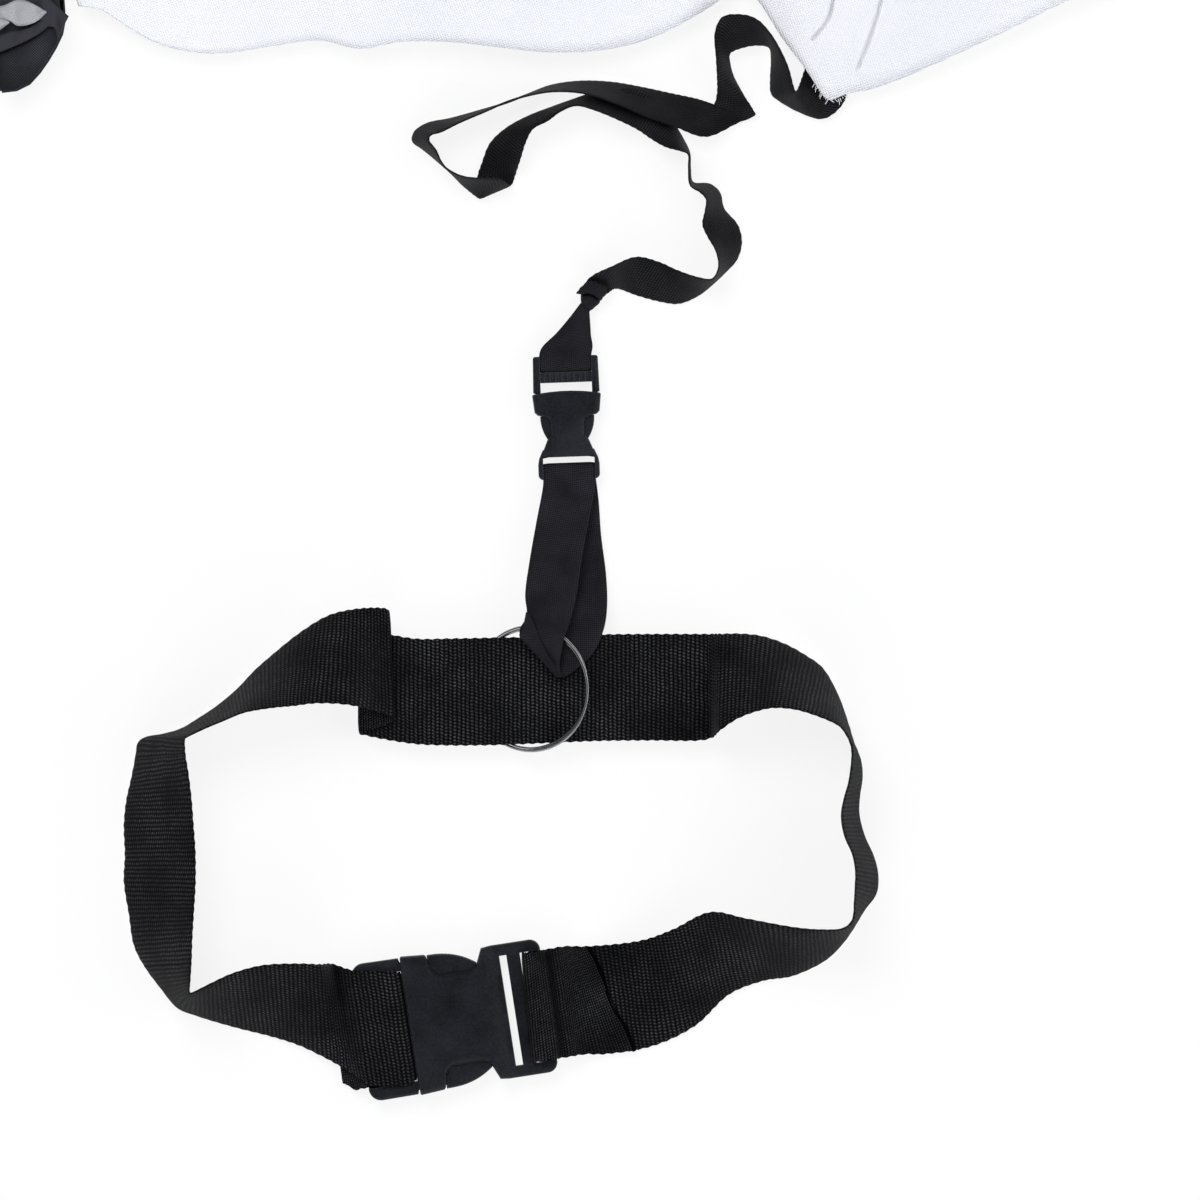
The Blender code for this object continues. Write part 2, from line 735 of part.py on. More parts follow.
# The leader from the mesh apex to the knot. Edge a starts on the left.
LEADER_SHARES = [
    (8.10, 0.50, 8.52, 0.70, 0.17, LYING),
    (8.02, 0.76, 8.42, 1.02, 0.10, LYING),
    (7.97, 0.90, 8.22, 1.19, 0.08, GOING_DOWN),
    (7.95, 0.93, 8.00, 1.15, 0.05, GOING_DOWN),
    (7.95, 0.92, 7.80, 1.04, 0.05, GOING_DOWN),
    (7.94, 0.86, 7.72, 0.95, 0.05, GOING_DOWN),
    (7.90, 0.68, 7.70, 0.78, 0.06, GOING_DOWN),
    (7.81, 0.49, 7.715, 0.62, 0.08, GOING_DOWN),
    (7.70, 0.33, 7.69, 0.50, 0.12, GOING_DOWN),
    (7.58, 0.215, 7.56, 0.475, 0.17, GOING_DOWN),
    (7.42, 0.16, 7.41, 0.50, 0.20, GOING_DOWN),
    (7.24, 0.20, 7.31, 0.55, 0.19, GOING_DOWN),
    (7.15, 0.36, 7.31, 0.64, 0.15, GOING_DOWN),
    (7.155, 0.60, 7.35, 0.78, 0.11, GOING_DOWN),
    (7.17, 0.80, 7.44, 0.94, 0.10, GOING_DOWN),
    (7.16, 0.97, 7.53, 1.10, 0.12, LYING),
    (7.14, 1.04, 7.555, 1.155, 0.10, LYING),
    (7.10, 1.03, 7.40, 1.25, 0.06, LYING),
    (6.96, 0.985, 7.07, 1.37, 0.035, GOING_UP),
    (6.70, 0.93, 6.74, 1.28, 0.03, GOING_UP),
    (6.42, 0.87, 6.45, 1.18, 0.03, GOING_UP),
    (6.12, 0.82, 6.16, 1.06, 0.03, GOING_UP),
    (5.80, 0.80, 5.84, 0.95, 0.03, GOING_UP),
    (5.50, 0.84, 5.54, 0.93, 0.03, GOING_UP),
    (5.25, 0.94, 5.27, 0.975, 0.03, GOING_UP),
    (5.05, 1.03, 5.06, 1.04, 0.03, GOING_UP),
    (4.78, 1.08, 4.84, 1.14, 0.03, GOING_UP),
    (4.50, 1.15, 4.60, 1.25, 0.03, GOING_UP),
    (4.26, 1.21, 4.42, 1.34, 0.03, GOING_UP),
    (4.14, 1.32, 4.32, 1.37, 0.03, GOING_UP),
    (4.12, 1.41, 4.30, 1.42, 0.03, GOING_UP),
    (4.22, 1.49, 4.37, 1.52, 0.03, GOING_UP),
    (4.36, 1.60, 4.43, 1.62, 0.03, GOING_UP),
    (4.50, 1.72, 4.50, 1.69, 0.03, GOING_UP),
    (4.62, 1.85, 4.68, 1.75, 0.04, GOING_UP),
    (4.76, 1.97, 4.98, 1.80, 0.08, GOING_UP),
    (4.80, 1.985, 5.11, 1.855, 0.10, LYING),
    (4.80, 1.96, 5.13, 1.83, 0.065, LYING),
    (4.77, 1.80, 5.155, 1.76, 0.035, LYING),
    (4.82, 1.62, 5.21, 1.60, 0.03, GOING_UP),
    (4.90, 1.43, 5.27, 1.45, 0.03, GOING_UP),
    (5.06, 1.28, 5.35, 1.31, 0.03, GOING_UP),
    (5.28, 1.16, 5.50, 1.24, 0.03, GOING_UP),
    (5.52, 1.07, 5.62, 1.15, 0.05, GOING_UP),
    (5.72, 1.00, 5.76, 1.08, 0.08, GOING_UP),
    (5.92, 0.93, 5.94, 1.11, 0.11, GOING_UP),
    (6.14, 0.89, 6.18, 1.20, 0.13, GOING_UP),
    (6.35, 0.885, 6.38, 1.30, 0.14, GOING_UP),
    (6.54, 0.98, 6.52, 1.40, 0.12, GOING_UP),
    (6.68, 1.15, 6.66, 1.48, 0.09, GOING_UP),
    (6.80, 1.33, 6.80, 1.53, 0.06, GOING_UP),
    (6.89, 1.52, 6.885, 1.57, 0.03, GOING_UP),
    (6.90, 1.68, 6.885, 1.69, 0.03, GOING_UP),
    (6.93, 1.81, 6.895, 1.85, 0.03, GOING_UP),
    (7.10, 1.83, 6.99, 1.93, 0.03, GOING_UP),
    (7.19, 1.93, 7.05, 2.00, 0.03, GOING_UP),
    (7.25, 2.08, 7.03, 2.12, 0.03, GOING_UP),
    (7.38, 2.25, 7.02, 2.26, 0.03, GOING_UP),
    (7.42, 2.42, 7.09, 2.38, 0.03, GOING_UP),
    (7.37, 2.60, 7.15, 2.52, 0.03, GOING_UP),
    (7.25, 2.73, 7.18, 2.68, 0.03, GOING_UP),
    (7.12, 2.85, 7.12, 2.80, 0.03, GOING_UP),
    (7.00, 2.95, 6.98, 2.77, 0.03, GOING_UP),
    (6.79, 3.04, 6.76, 2.72, 0.03, GOING_UP),
    (6.60, 3.02, 6.58, 2.64, 0.03, GOING_UP),
    (6.36, 2.96, 6.36, 2.56, 0.03, GOING_UP),
    (6.18, 2.90, 6.12, 2.66, 0.05, GOING_UP),
    (6.09, 2.93, 5.90, 2.78, 0.08, LYING),
    (6.015, 2.99, 5.845, 2.90, 0.11, LYING),
]


def rows_of(table_shares):
    """Rows on the belt."""
    return edge_rows(table_shares, BELT_WIDTH, BELT_DRAWN_SHARE)


def trim(rows, start, end):
    """Draws the first and last ruling in by half of the gap, where a strap was cut in two."""
    rows = np.array(rows)
    for index, inner, wanted in ((0, 1, start), (-1, -2, end)):
        if wanted:
            span = np.linalg.norm(rows[inner] - rows[index]) / math.sqrt(2)
            rows[index] += (rows[inner] - rows[index]) * GAP / span
    return rows


def shell_loop_rows(size):
    """The belt end sewn round the end bar of the shell, from its cut end on top to the under side."""
    off = size.end_bar_half_height + WEBBING_CLEARANCE + BELT_THICKNESS / 2
    near = size.end_bar_start - WEBBING_CLEARANCE - BELT_THICKNESS / 2
    bar = size.end_bar_start
    far = size.shell_length
    floor = BELT_THICKNESS / 2 + 2 * WEBBING_CLEARANCE - size.height
    above = floor + BELT_THICKNESS + WEBBING_CLEARANCE
    lay = BELT_FLAP - far
    return [
        buckle_row(size, BELT_FLAP, above, skew=BELT_FLAP_SKEW),
        buckle_row(size, far + lay * FLAP_FAR_SHARE, above, skew=BELT_FLAP_SKEW * FLAP_FAR_SHARE),
        buckle_row(size, far + lay * FLAP_MIDDLE_SHARE, (above + off) / 2),
        buckle_row(size, far + lay * FLAP_NEAR_SHARE, (above + off * 19) / 20),
        buckle_row(size, bar + size.end_bar_length, off),
        buckle_row(size, bar, off),
        *bend_rows(size, bar, near, off, -off),
        buckle_row(size, bar, -off),
        buckle_row(size, bar + size.end_bar_length, -off),
        buckle_row(size, far + lay * FLAP_NEAR_SHARE, (floor - off * 3) / 4),
        buckle_row(size, far + lay * FLAP_MIDDLE_SHARE, floor),
        buckle_row(size, far + lay * FLAP_FAR_SHARE, floor),
    ]


def frame_loop_rows(size):
    """The belt over both bars of the frame, round the inner one and back out over the outer one."""
    off = size.inner_bar_half_height + WEBBING_CLEARANCE + BELT_THICKNESS / 2
    under = size.outer_bar_top + WEBBING_CLEARANCE + BELT_THICKNESS / 2
    over = max(off, under + BELT_THICKNESS + WEBBING_CLEARANCE)
    start, reach = size.inner_bar_start, size.frame_reach
    end = size.inner_bar_length - start
    near = end + WEBBING_CLEARANCE + BELT_THICKNESS / 2
    outer_end = size.outer_bar_length - reach
    slot = -start - outer_end
    way_in = [
        buckle_row(size, -reach - slot * away, over * rise) for away, rise in FRAME_WAY_IN_SHARES
    ]
    way_out = [
        buckle_row(size, -reach - slot * away, under - over * drop)
        for away, drop in FRAME_WAY_OUT_SHARES
    ]
    return [
        *way_in,
        buckle_row(size, -reach, over),
        buckle_row(size, -start, over),
        buckle_row(size, end, over),
        *bend_rows(size, end, near, off, -off),
        buckle_row(size, end, -off),
        buckle_row(size, -start, -off),
        buckle_row(size, -start - slot * SLOT_UNDER_SHARES[0], -off * SLOT_UNDER_SHARES[1]),
        buckle_row(size, -start - slot * SLOT_OVER_SHARES[0], under * SLOT_OVER_SHARES[1]),
        buckle_row(size, outer_end, under),
        buckle_row(size, -reach, under),
        *way_out,
    ]


def pleat_rows():
    """The straight run and the two turns of the pleat, which lie flat above each other."""
    top, low = BACK_EDGES_SHARES
    lift = BELT_LIFT / GRID
    run = [(right, top, right, low, lift, LYING) for right in BACK_RUN_SHARES]
    turns = [
        (a_right, a_down, b_right, b_down, lift + layer * PLEAT_STEP / GRID, LYING)
        for a_right, a_down, b_right, b_down, layer in PLEAT_SHARES
    ]
    return rows_of(run + turns)


def build_belt(belt_axis, frame_axis):
    """The waist belt, one length of webbing in three solids: the middle one bends at the buckle."""
    back = shell_loop_rows(BeltBuckle) + rows_of(BELT_RIGHT_SHARES) + pleat_rows()
    back += rows_of(BELT_TOP_LEFT_SHARES)
    side = rows_of(BELT_SIDE_SHARES)
    front = rows_of(BELT_FRONT_SHARES) + frame_loop_rows(BeltBuckle) + rows_of(BELT_TAIL_SHARES)
    rows = spline(back + side + front, STRAP_STEPS)
    first = len(back) * STRAP_STEPS
    second = first + len(side) * STRAP_STEPS
    pieces = (
        ("belt_webbing_back", trim(rows[: first + 1], False, True), belt_axis),
        ("belt_webbing_side", trim(rows[first : second + 1], True, True), belt_axis),
        ("belt_webbing_front", trim(rows[second:], True, False), frame_axis),
    )
    for name, piece, parent in pieces:
        add_strap(name, piece, BELT_THICKNESS, parent)


def add_strap(name, rows, thickness, parent=None):
    mesh = smooth(strap_mesh(name, rows, thickness), 60)
    obj = add_object(name, mesh, webbing_material(), parent)
    if parent is not None:
        bpy.context.view_layer.update()
        obj.matrix_parent_inverse = parent.matrix_world.inverted()
    return obj


def build_connector(parent):
    """One strap doubled between the ring and the end bar of the small shell."""
    size = QuickBuckle
    off = size.end_bar_half_height + WEBBING_CLEARANCE + CONNECTOR_THICKNESS / 2
    bar, far = size.end_bar_start, size.shell_length
    near = bar - WEBBING_CLEARANCE - CONNECTOR_THICKNESS / 2
    below = -off - CONNECTOR_THICKNESS - WEBBING_CLEARANCE
    table = CONNECTOR_REAR_SHARES + CONNECTOR_FRONT_SHARES
    rows = [buckle_row(size, bar + size.end_bar_length, below)]
    rows += edge_rows(table, CONNECTOR_WIDTH, CONNECTOR_DRAWN_SHARE)
    rows += [
        buckle_row(size, far, off),
        buckle_row(size, bar, off),
        *bend_rows(size, bar, near, off, -off),
        buckle_row(size, bar, -off),
        buckle_row(size, bar + size.end_bar_length, -off),
    ]
    add_strap("connector_strap", spline(rows, STRAP_STEPS), CONNECTOR_THICKNESS, parent)


def build_tab():
    """The gathered webbing round the outer bar of the small frame."""
    size = QuickBuckle
    reach = size.frame_reach
    top = size.outer_bar_top + WEBBING_CLEARANCE + CONNECTOR_THICKNESS / 2
    low = -size.inner_bar_half_height - WEBBING_CLEARANCE - CONNECTOR_THICKNESS / 2
    end = size.outer_bar_length - reach
    near = end + WEBBING_CLEARANCE + CONNECTOR_THICKNESS / 2
    rows = edge_rows(TAB_TOP_SHARES, CONNECTOR_WIDTH, CONNECTOR_DRAWN_SHARE)
    rows += [
        buckle_row(size, -reach, top),
        buckle_row(size, end, top),
        *bend_rows(size, end, near, top, low),
        buckle_row(size, end, low),
        buckle_row(size, -reach, low),
    ]
    rows += edge_rows(TAB_UNDER_SHARES, CONNECTOR_WIDTH, CONNECTOR_DRAWN_SHARE)
    add_strap("leader_tab", spline(rows, STRAP_STEPS), CONNECTOR_THICKNESS)


def build_knot():
    """A flattened hitch whose wraps bulge round the leader's end."""
    turn = Matrix.Rotation(KNOT_TURN, 3, "Z")
    middle = place(*KNOT_SHARES, KNOT_HEIGHT * KNOT_LIFT_SHARE)
    rings = []
    for step in np.linspace(-1, 1, KNOT_RINGS):
        wrap = abs(math.cos(step * math.pi * KNOT_WRAPS / 2))
        bulge = KNOT_WAIST_SHARE + KNOT_WRAP_SHARE * wrap - KNOT_END_SHARE * step**6
        ring = []
        for angle in np.linspace(0, 2 * math.pi, KNOT_SIDES, endpoint=False):
            across = KNOT_WIDTH / 2 * bulge * math.cos(angle)
            up = KNOT_HEIGHT / 2 * bulge * math.sin(angle)
            ring.append(middle + turn @ Vector((step * KNOT_LENGTH / 2, across, up)))
        rings.append(ring)
    add_object("leader_knot", smooth(mesh_of_rings("leader_knot", rings)), webbing_material())


def build_leader():
    """The leader strap, whose end is sewn under the apex of the front mesh panel."""
    rows = edge_rows(LEADER_SHARES, LEADER_WIDTH, LEADER_DRAWN_SHARE)
    sewn = cloth_levels()["mesh_front"] - (MESH_THICKNESS + LEADER_THICKNESS) / 2 - GAP
    rows[0][2] = rows[0][5] = sewn
    add_strap("leader_strap", spline(rows, LEADER_STEPS), LEADER_THICKNESS)


# Cloth: the lines that the sheets hang between, from the left corner to the right one
FRONT_HEM_SHARES = [
    (0.02, 0.93),
    (0.26, 0.88),
    (0.58, 0.46),
    (0.66, 0.20),
    (0.56, -0.02),
    (0.60, -0.70),
    (1.40, -2.10),
    (3.40, -3.50),
    (6.20, -4.50),
    (9.50, -4.90),
    (12.80, -4.60),
    (15.80, -3.60),
    (18.00, -2.30),
    (19.60, -0.95),
]
FOLD_SHARES = [
    (-0.70, -10.20),
    (0.60, -12.00),
    (2.60, -13.40),
    (5.60, -14.50),
    (9.60, -15.00),
    (13.60, -14.60),
    (16.80, -13.60),
    (19.00, -12.30),
    (20.30, -10.60),
]
MESH_EDGE_SHARES = [
    (0.80, 0.08),
    (1.02, 0.115),
    (1.28, 0.28),
    (1.58, 0.45),
    (1.99, 0.54),
    (2.30, 0.54),
    (2.755, 0.47),
    (3.21, 0.42),
    (3.60, 0.505),
    (4.00, 0.44),
    (4.48, 0.44),
    (4.96, 0.49),
    (5.435, 0.54),
    (5.91, 0.53),
    (6.23, 0.48),
    (6.55, 0.38),
    (6.87, 0.22),
    (7.19, 0.02),
    (7.38, -0.15),
    (7.56, 0.00),
    (7.83, 0.41),
    (8.05, 0.70),
    (8.19, 0.91),
    (8.28, 1.01),
    (8.46, 0.95),
    (8.79, 0.88),
    (9.57, 0.55),
    (10.00, 0.35),
    (10.72, 0.00),
    (12.00, -0.50),
    (14.00, -0.90),
    (16.50, -1.10),
    (18.20, -1.00),
    (19.20, -0.85),
]
# The side panels: the edge that meets the front panel, then the line that each is folded on
LEFT_SIDE_SHARES = [(1.00, -0.15), (2.20, 0.25), (4.00, 0.20), (5.90, 0.25), (6.80, -0.05), (7.70, -0.35)]
LEFT_FOLD_SHARES = [(1.20, -9.30), (2.60, -7.30), (4.00, -5.30), (5.40, -3.40), (6.80, -1.70), (7.90, -0.62)]
RIGHT_SIDE_SHARES = [
    (8.95, 0.40),
    (10.60, -0.30),
    (12.40, -0.90),
    (14.40, -1.25),
    (16.40, -1.45),
    (18.30, -1.45),
]
RIGHT_FOLD_SHARES = [
    (8.90, -0.10),
    (10.40, -1.60),
    (12.00, -3.20),
    (13.80, -4.90),
    (15.60, -6.50),
    (17.40, -8.00),
]
APEX_SHARES = (8.25, 0.80)
CANOPY_COLUMNS = 26
CANOPY_ROWS = 10
ROLL_ROWS = 3
MESH_COLUMNS = 52
MESH_ROWS = 8
SIDE_COLUMNS = 12
SIDE_ROWS = 6
BACK_MESH_SHARES = (0.12, 0.35, 0.6, 0.85)
# The first column of the canopy that the front mesh meets, and how many columns the hem tapes start in
MESH_FIRST_COLUMN = 2
TAPE_FIRST_COLUMN = 3
# Waves in the upper cloth, each with its length as a share of the first one's, and its heading
WAVE_LENGTH = 0.235
WAVE_SHARES = [
    (1, math.radians(80)),
    (0.72, math.radians(35)),
    (1.32, math.radians(150)),
]
CALM_REACH = 0.12


def line_at(table_shares, count):
    """Evenly spaced plan points along a smooth line through a table of places."""
    curve = spline([place(*row) for row in table_shares], LINE_STEPS)
    run = np.concatenate([[0], np.cumsum(np.linalg.norm(np.diff(curve, axis=0), axis=1))])
    wanted = np.linspace(0, run[-1], count + 1)
    return np.stack([np.interp(wanted, run, curve[:, axis]) for axis in range(3)], axis=1)


def wave(point):
    """How far the folds lift the upper cloth at a place. It lies calm at the apex."""
    off = np.array(point)[:2] - np.array(place(*APEX_SHARES))[:2]
    reach = min(np.linalg.norm(off) / CALM_REACH, 1)
    total = 0
    for share, turn in WAVE_SHARES:
        away = off[0] * math.cos(turn) + off[1] * math.sin(turn)
        total += (1 + math.sin(2 * math.pi * away / (share * WAVE_LENGTH))) / len(WAVE_SHARES)
    return WAVE_HEIGHT * total * reach * reach


def lifted(points, height, folds=True):
    """The points at a height, with or without the folds."""
    made = np.array(points)
    made[:, 2] = [height + (wave(point) if folds else 0) for point in points]
    return made


def between(one, two, share):
    return one + (two - one) * share


def sheet_mesh(name, rows, thickness):
    """A closed sheet of even thickness round a grid of points."""
    grid = np.array(rows)
    across, along = np.gradient(grid, axis=0), np.gradient(grid, axis=1)
    normal = np.cross(along, across)
    normal *= thickness / 2 / np.linalg.norm(normal, axis=2)[:, :, None]
    count, width = grid.shape[:2]
    shape = bmesh.new()
    faces = []
    for side in (grid + normal, grid - normal):
        faces.append([[shape.verts.new(point) for point in row] for row in side])
    for verts in faces:
        for i in range(count - 1):
            for j in range(width - 1):
                corners = (verts[i][j], verts[i][j + 1], verts[i + 1][j + 1], verts[i + 1][j])
                shape.faces.new(corners if verts is faces[1] else tuple(reversed(corners)))
    rim = [(0, j) for j in range(width)] + [(i, width - 1) for i in range(1, count)]
    rim += [(count - 1, j) for j in range(width - 2, -1, -1)] + [(i, 0) for i in range(count - 2, 0, -1)]
    for (i, j), (k, l) in zip(rim, rim[1:] + rim[:1]):
        shape.faces.new((faces[0][i][j], faces[0][k][l], faces[1][k][l], faces[1][i][j]))
    bmesh.ops.recalc_face_normals(shape, faces=shape.faces)
    mesh = bpy.data.meshes.new(name)
    shape.to_mesh(mesh)
    shape.free()
    return smooth(mesh, 60)


def cloth_levels():
    """Heights of the middle of each layer, from the floor up."""
    levels = {"canopy_back": CANOPY_THICKNESS / 2}
    levels["hem_back"] = levels["canopy_back"] + (CANOPY_THICKNESS + HEM_THICKNESS) / 2 + GAP
    levels["mesh_over_hem"] = levels["hem_back"] + (HEM_THICKNESS + MESH_THICKNESS) / 2 + GAP
    levels["mesh_back"] = MESH_THICKNESS / 2
    levels["side_low"] = levels["mesh_over_hem"] + MESH_THICKNESS + GAP
    levels["side_high"] = levels["side_low"] + 2 * MESH_THICKNESS + GAP
    levels["mesh_front"] = levels["side_high"] + MESH_THICKNESS + 2 * SHEET_CLEARANCE
    thick = (MESH_THICKNESS + CANOPY_THICKNESS) / 2 + SHEET_CLEARANCE
    levels["canopy_front"] = levels["mesh_front"] + thick
    thick = (CANOPY_THICKNESS + HEM_THICKNESS) / 2 + SHEET_CLEARANCE
    levels["hem_front"] = levels["canopy_front"] + thick
    return levels


def canopy_rows():
    """The folded canopy as rows from its front hem, over the fold, to its back hem."""
    levels = cloth_levels()
    hem, fold = line_at(FRONT_HEM_SHARES, CANOPY_COLUMNS), line_at(FOLD_SHARES, CANOPY_COLUMNS)
    depth = np.linalg.norm(fold - hem, axis=1).mean()
    first = HEM_WIDTH / depth
    shares = [0, *np.linspace(first, 1, CANOPY_ROWS)]
    front = [lifted(between(hem, fold, share), levels["canopy_front"]) for share in shares]
    back = [lifted(between(hem, fold, share), levels["canopy_back"], False) for share in shares]
    top, low = front[-1], back[-1]
    outward = (fold - hem) / np.linalg.norm(fold - hem, axis=1)[:, None]
    roll = []
    for step in range(1, ROLL_ROWS + 1):
        angle = math.pi * step / (ROLL_ROWS + 1)
        radius = (top[:, 2] - low[:, 2])[:, None] / 2
        row = (top + low) / 2 + outward * radius * math.sin(angle)
        row[:, 2] += radius[:, 0] * math.cos(angle)
        roll.append(row)
    return front + roll + back[::-1]


def build_canopy():
    """The square canopy folded on its middle line, its hem tapes and its corner patches."""
    levels = cloth_levels()
    rows = canopy_rows()
    mesh = sheet_mesh("canopy", rows, CANOPY_THICKNESS)
    add_object("canopy", mesh, canopy_material())
    lift = levels["hem_front"] - levels["canopy_front"]
    up = np.array((0, 0, lift))
    up_back = np.array((0, 0, levels["hem_back"] - levels["canopy_back"]))
    inset = TAPE_FIRST_COLUMN
    tapes = {
        "hem_front": [row[inset:-inset] + up for row in rows[:2]],
        "hem_back": [row[inset:-inset] + up_back for row in rows[-1:-3:-1]],
    }
    sides = ((0, 1, "hem_left"), (-1, -2, "hem_right"))
    for edge, inner, name in sides:
        line = np.array([row[edge] for row in rows[2 : CANOPY_ROWS + 1]])
        next_line = np.array([row[inner] for row in rows[2 : CANOPY_ROWS + 1]])
        span = np.linalg.norm(next_line - line, axis=1)[:, None]
        tapes[name] = [line + up, line + (next_line - line) * HEM_WIDTH / span + up]
    for name, tape in tapes.items():
        add_object(name, sheet_mesh(name, tape, HEM_THICKNESS), webbing_material())
    for name, columns in (("corner_patch_left", slice(0, 2)), ("corner_patch_right", slice(-2, None))):
        patch = [row[columns] + up for row in rows[:2]]
        add_object(name, sheet_mesh(name, patch, HEM_THICKNESS), webbing_material())


def column_points(row, places):
    """Points on a sampled line at fractional columns, so that they lie on its straight facets."""
    index = np.arange(len(row))
    return np.stack([np.interp(places, index, row[:, axis]) for axis in range(3)], axis=1)


def build_mesh_panels():
    """The front panel, wavy at its lower edge, the back panel under it, and both side panels."""
    levels = cloth_levels()
    rows = canopy_rows()
    edge = line_at(MESH_EDGE_SHARES, MESH_COLUMNS)
    places = np.linspace(MESH_FIRST_COLUMN, CANOPY_COLUMNS - 1, MESH_COLUMNS + 1)
    down = np.array((0, 0, levels["canopy_front"] - levels["mesh_front"]))
    hem = column_points(rows[0], places) - down
    under = column_points(rows[1], places) - down
    front = [
        lifted(between(edge, hem, share), levels["mesh_front"])
        for share in np.linspace(0, 1, MESH_ROWS, endpoint=False)
    ]
    mesh = sheet_mesh("mesh_panel_front", front + [hem, under], MESH_THICKNESS)
    add_object("mesh_panel_front", mesh, mesh_material())

    over = np.array((0, 0, levels["mesh_over_hem"] - levels["canopy_back"]))
    hem = column_points(rows[-1], places[::2]) + over
    under = column_points(rows[-2], places[::2]) + over
    plan = column_points(edge, np.arange(0, MESH_COLUMNS + 1, 2))
    back = [
        lifted(between(plan, hem, share), levels["mesh_back"], False)
        for share in BACK_MESH_SHARES
    ]
    mesh = sheet_mesh("mesh_panel_back", back + [hem, under], MESH_THICKNESS)
    add_object("mesh_panel_back", mesh, mesh_material())

    sides = (
        ("mesh_panel_left", LEFT_SIDE_SHARES, LEFT_FOLD_SHARES),
        ("mesh_panel_right", RIGHT_SIDE_SHARES, RIGHT_FOLD_SHARES),
    )
    for name, side_shares, fold_shares in sides:
        near, fold = line_at(side_shares, SIDE_COLUMNS), line_at(fold_shares, SIDE_COLUMNS)
        shares = np.linspace(0, 1, SIDE_ROWS)
        high = [lifted(between(near, fold, share), levels["side_high"], False) for share in shares]
        low = [lifted(between(near, fold, share), levels["side_low"], False) for share in shares]
        radius = (levels["side_high"] - levels["side_low"]) / 2
        outward = (fold - near) / np.linalg.norm(fold - near, axis=1)[:, None]
        turn = lifted(fold + outward * radius, (levels["side_high"] + levels["side_low"]) / 2, False)
        mesh = sheet_mesh(name, high + [turn] + low[::-1], MESH_THICKNESS)
        add_object(name, mesh, mesh_material())


def main():
    clear_scene()
    build_canopy()
    build_mesh_panels()
    quick_shell, _ = build_buckle(QuickBuckle)
    belt_shell, belt_frame = build_buckle(BeltBuckle)
    ring_axis = add_empty("ring_axis", place(*RING_PLACE_SHARES, BELT_LIFT + RING_RAISE))
    build_ring(ring_axis)
    build_belt(belt_shell, belt_frame)
    build_connector(quick_shell)
    build_tab()
    build_knot()
    build_leader()


main()
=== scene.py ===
"""Looks for the speed parachute: woven webbing, moulded buckles, a plated ring, net and nylon."""

import math
from functools import partial
from types import SimpleNamespace

import bmesh
import bpy
import numpy as np
from mathutils import Matrix, Vector


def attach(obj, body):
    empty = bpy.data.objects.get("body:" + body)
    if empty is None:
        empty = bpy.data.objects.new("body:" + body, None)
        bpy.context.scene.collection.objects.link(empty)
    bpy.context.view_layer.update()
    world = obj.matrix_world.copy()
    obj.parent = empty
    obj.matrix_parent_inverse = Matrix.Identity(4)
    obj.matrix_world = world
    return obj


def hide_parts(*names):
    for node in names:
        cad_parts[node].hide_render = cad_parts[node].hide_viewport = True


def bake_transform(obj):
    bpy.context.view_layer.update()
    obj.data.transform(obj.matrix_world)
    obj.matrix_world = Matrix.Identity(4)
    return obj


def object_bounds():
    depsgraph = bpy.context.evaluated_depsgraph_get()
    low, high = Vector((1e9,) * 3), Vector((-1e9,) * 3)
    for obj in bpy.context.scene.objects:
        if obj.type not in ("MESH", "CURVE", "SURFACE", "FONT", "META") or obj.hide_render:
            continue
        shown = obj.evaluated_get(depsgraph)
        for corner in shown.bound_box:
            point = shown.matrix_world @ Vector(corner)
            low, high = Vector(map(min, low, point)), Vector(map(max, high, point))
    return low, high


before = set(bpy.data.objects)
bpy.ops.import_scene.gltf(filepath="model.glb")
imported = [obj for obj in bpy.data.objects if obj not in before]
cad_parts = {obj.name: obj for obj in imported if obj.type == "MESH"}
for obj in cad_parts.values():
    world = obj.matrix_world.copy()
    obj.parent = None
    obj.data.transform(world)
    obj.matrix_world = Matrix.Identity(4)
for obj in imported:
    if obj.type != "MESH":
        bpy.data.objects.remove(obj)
cad_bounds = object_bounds()

# The plan's grid unit and the grid point at the origin
GRID = 0.044
ORIGIN_RIGHT, ORIGIN_DOWN = 9.8034, -2.0993
# How a strap stands, and how high its lower edge is where its table doesn't say
UP, FLAT, DOWN = 1, 0, -1
USUAL_LOW = 0.03

# Webbing: width, thickness, and the grid width that its table is drawn for
BELT = (0.0485, 0.0016, 1.10)
CONNECTOR = (0.023, 0.0012, 0.52)
LEADER = (0.020, 0.001, 0.455)
TURNED_EDGE = (0.006, 0.001, 0.14)
# The room left between webbing and what it lies against, and how far a fold keeps from a bar
TOUCH, BAR_TUCK = 0.0003, 0.0009
BELT_LIFT = 0.0126
PLEAT_STEP = 0.0023
BELT_FLAP, BELT_FLAP_SKEW, BELT_FLAP_DRIFT, BELT_FRONT_DRIFT = 0.089, 0.0065, -0.0020, 0.0080
ROLL_SKEW, RAIL_SPILL = -0.0014, 0.0015
BELT_RIBS, BELT_SCALLOP, LEADER_SCALLOP = (0.00007, 0.0042), (0.00045, 0.0042), (0.00025, 0.0032)
# Points of a curve between two rows of its table, and the steps that straps are cut into
CURVE_STEPS, LINE_STEPS = 12, 24
BELT_STEP, CONNECTOR_STEP, LEADER_STEP = 0.00105, 0.0006, 0.0008

RING_DIAMETER, RING_WIRE, RING_PITCH, RING_TURNS = 0.0556, 0.0016, 0.0021, 1.9
RING_TILT, RING_START, RING_SPREAD = math.radians(22), math.radians(225), 0.0009
RING_PLACE = (5.306, 6.886)

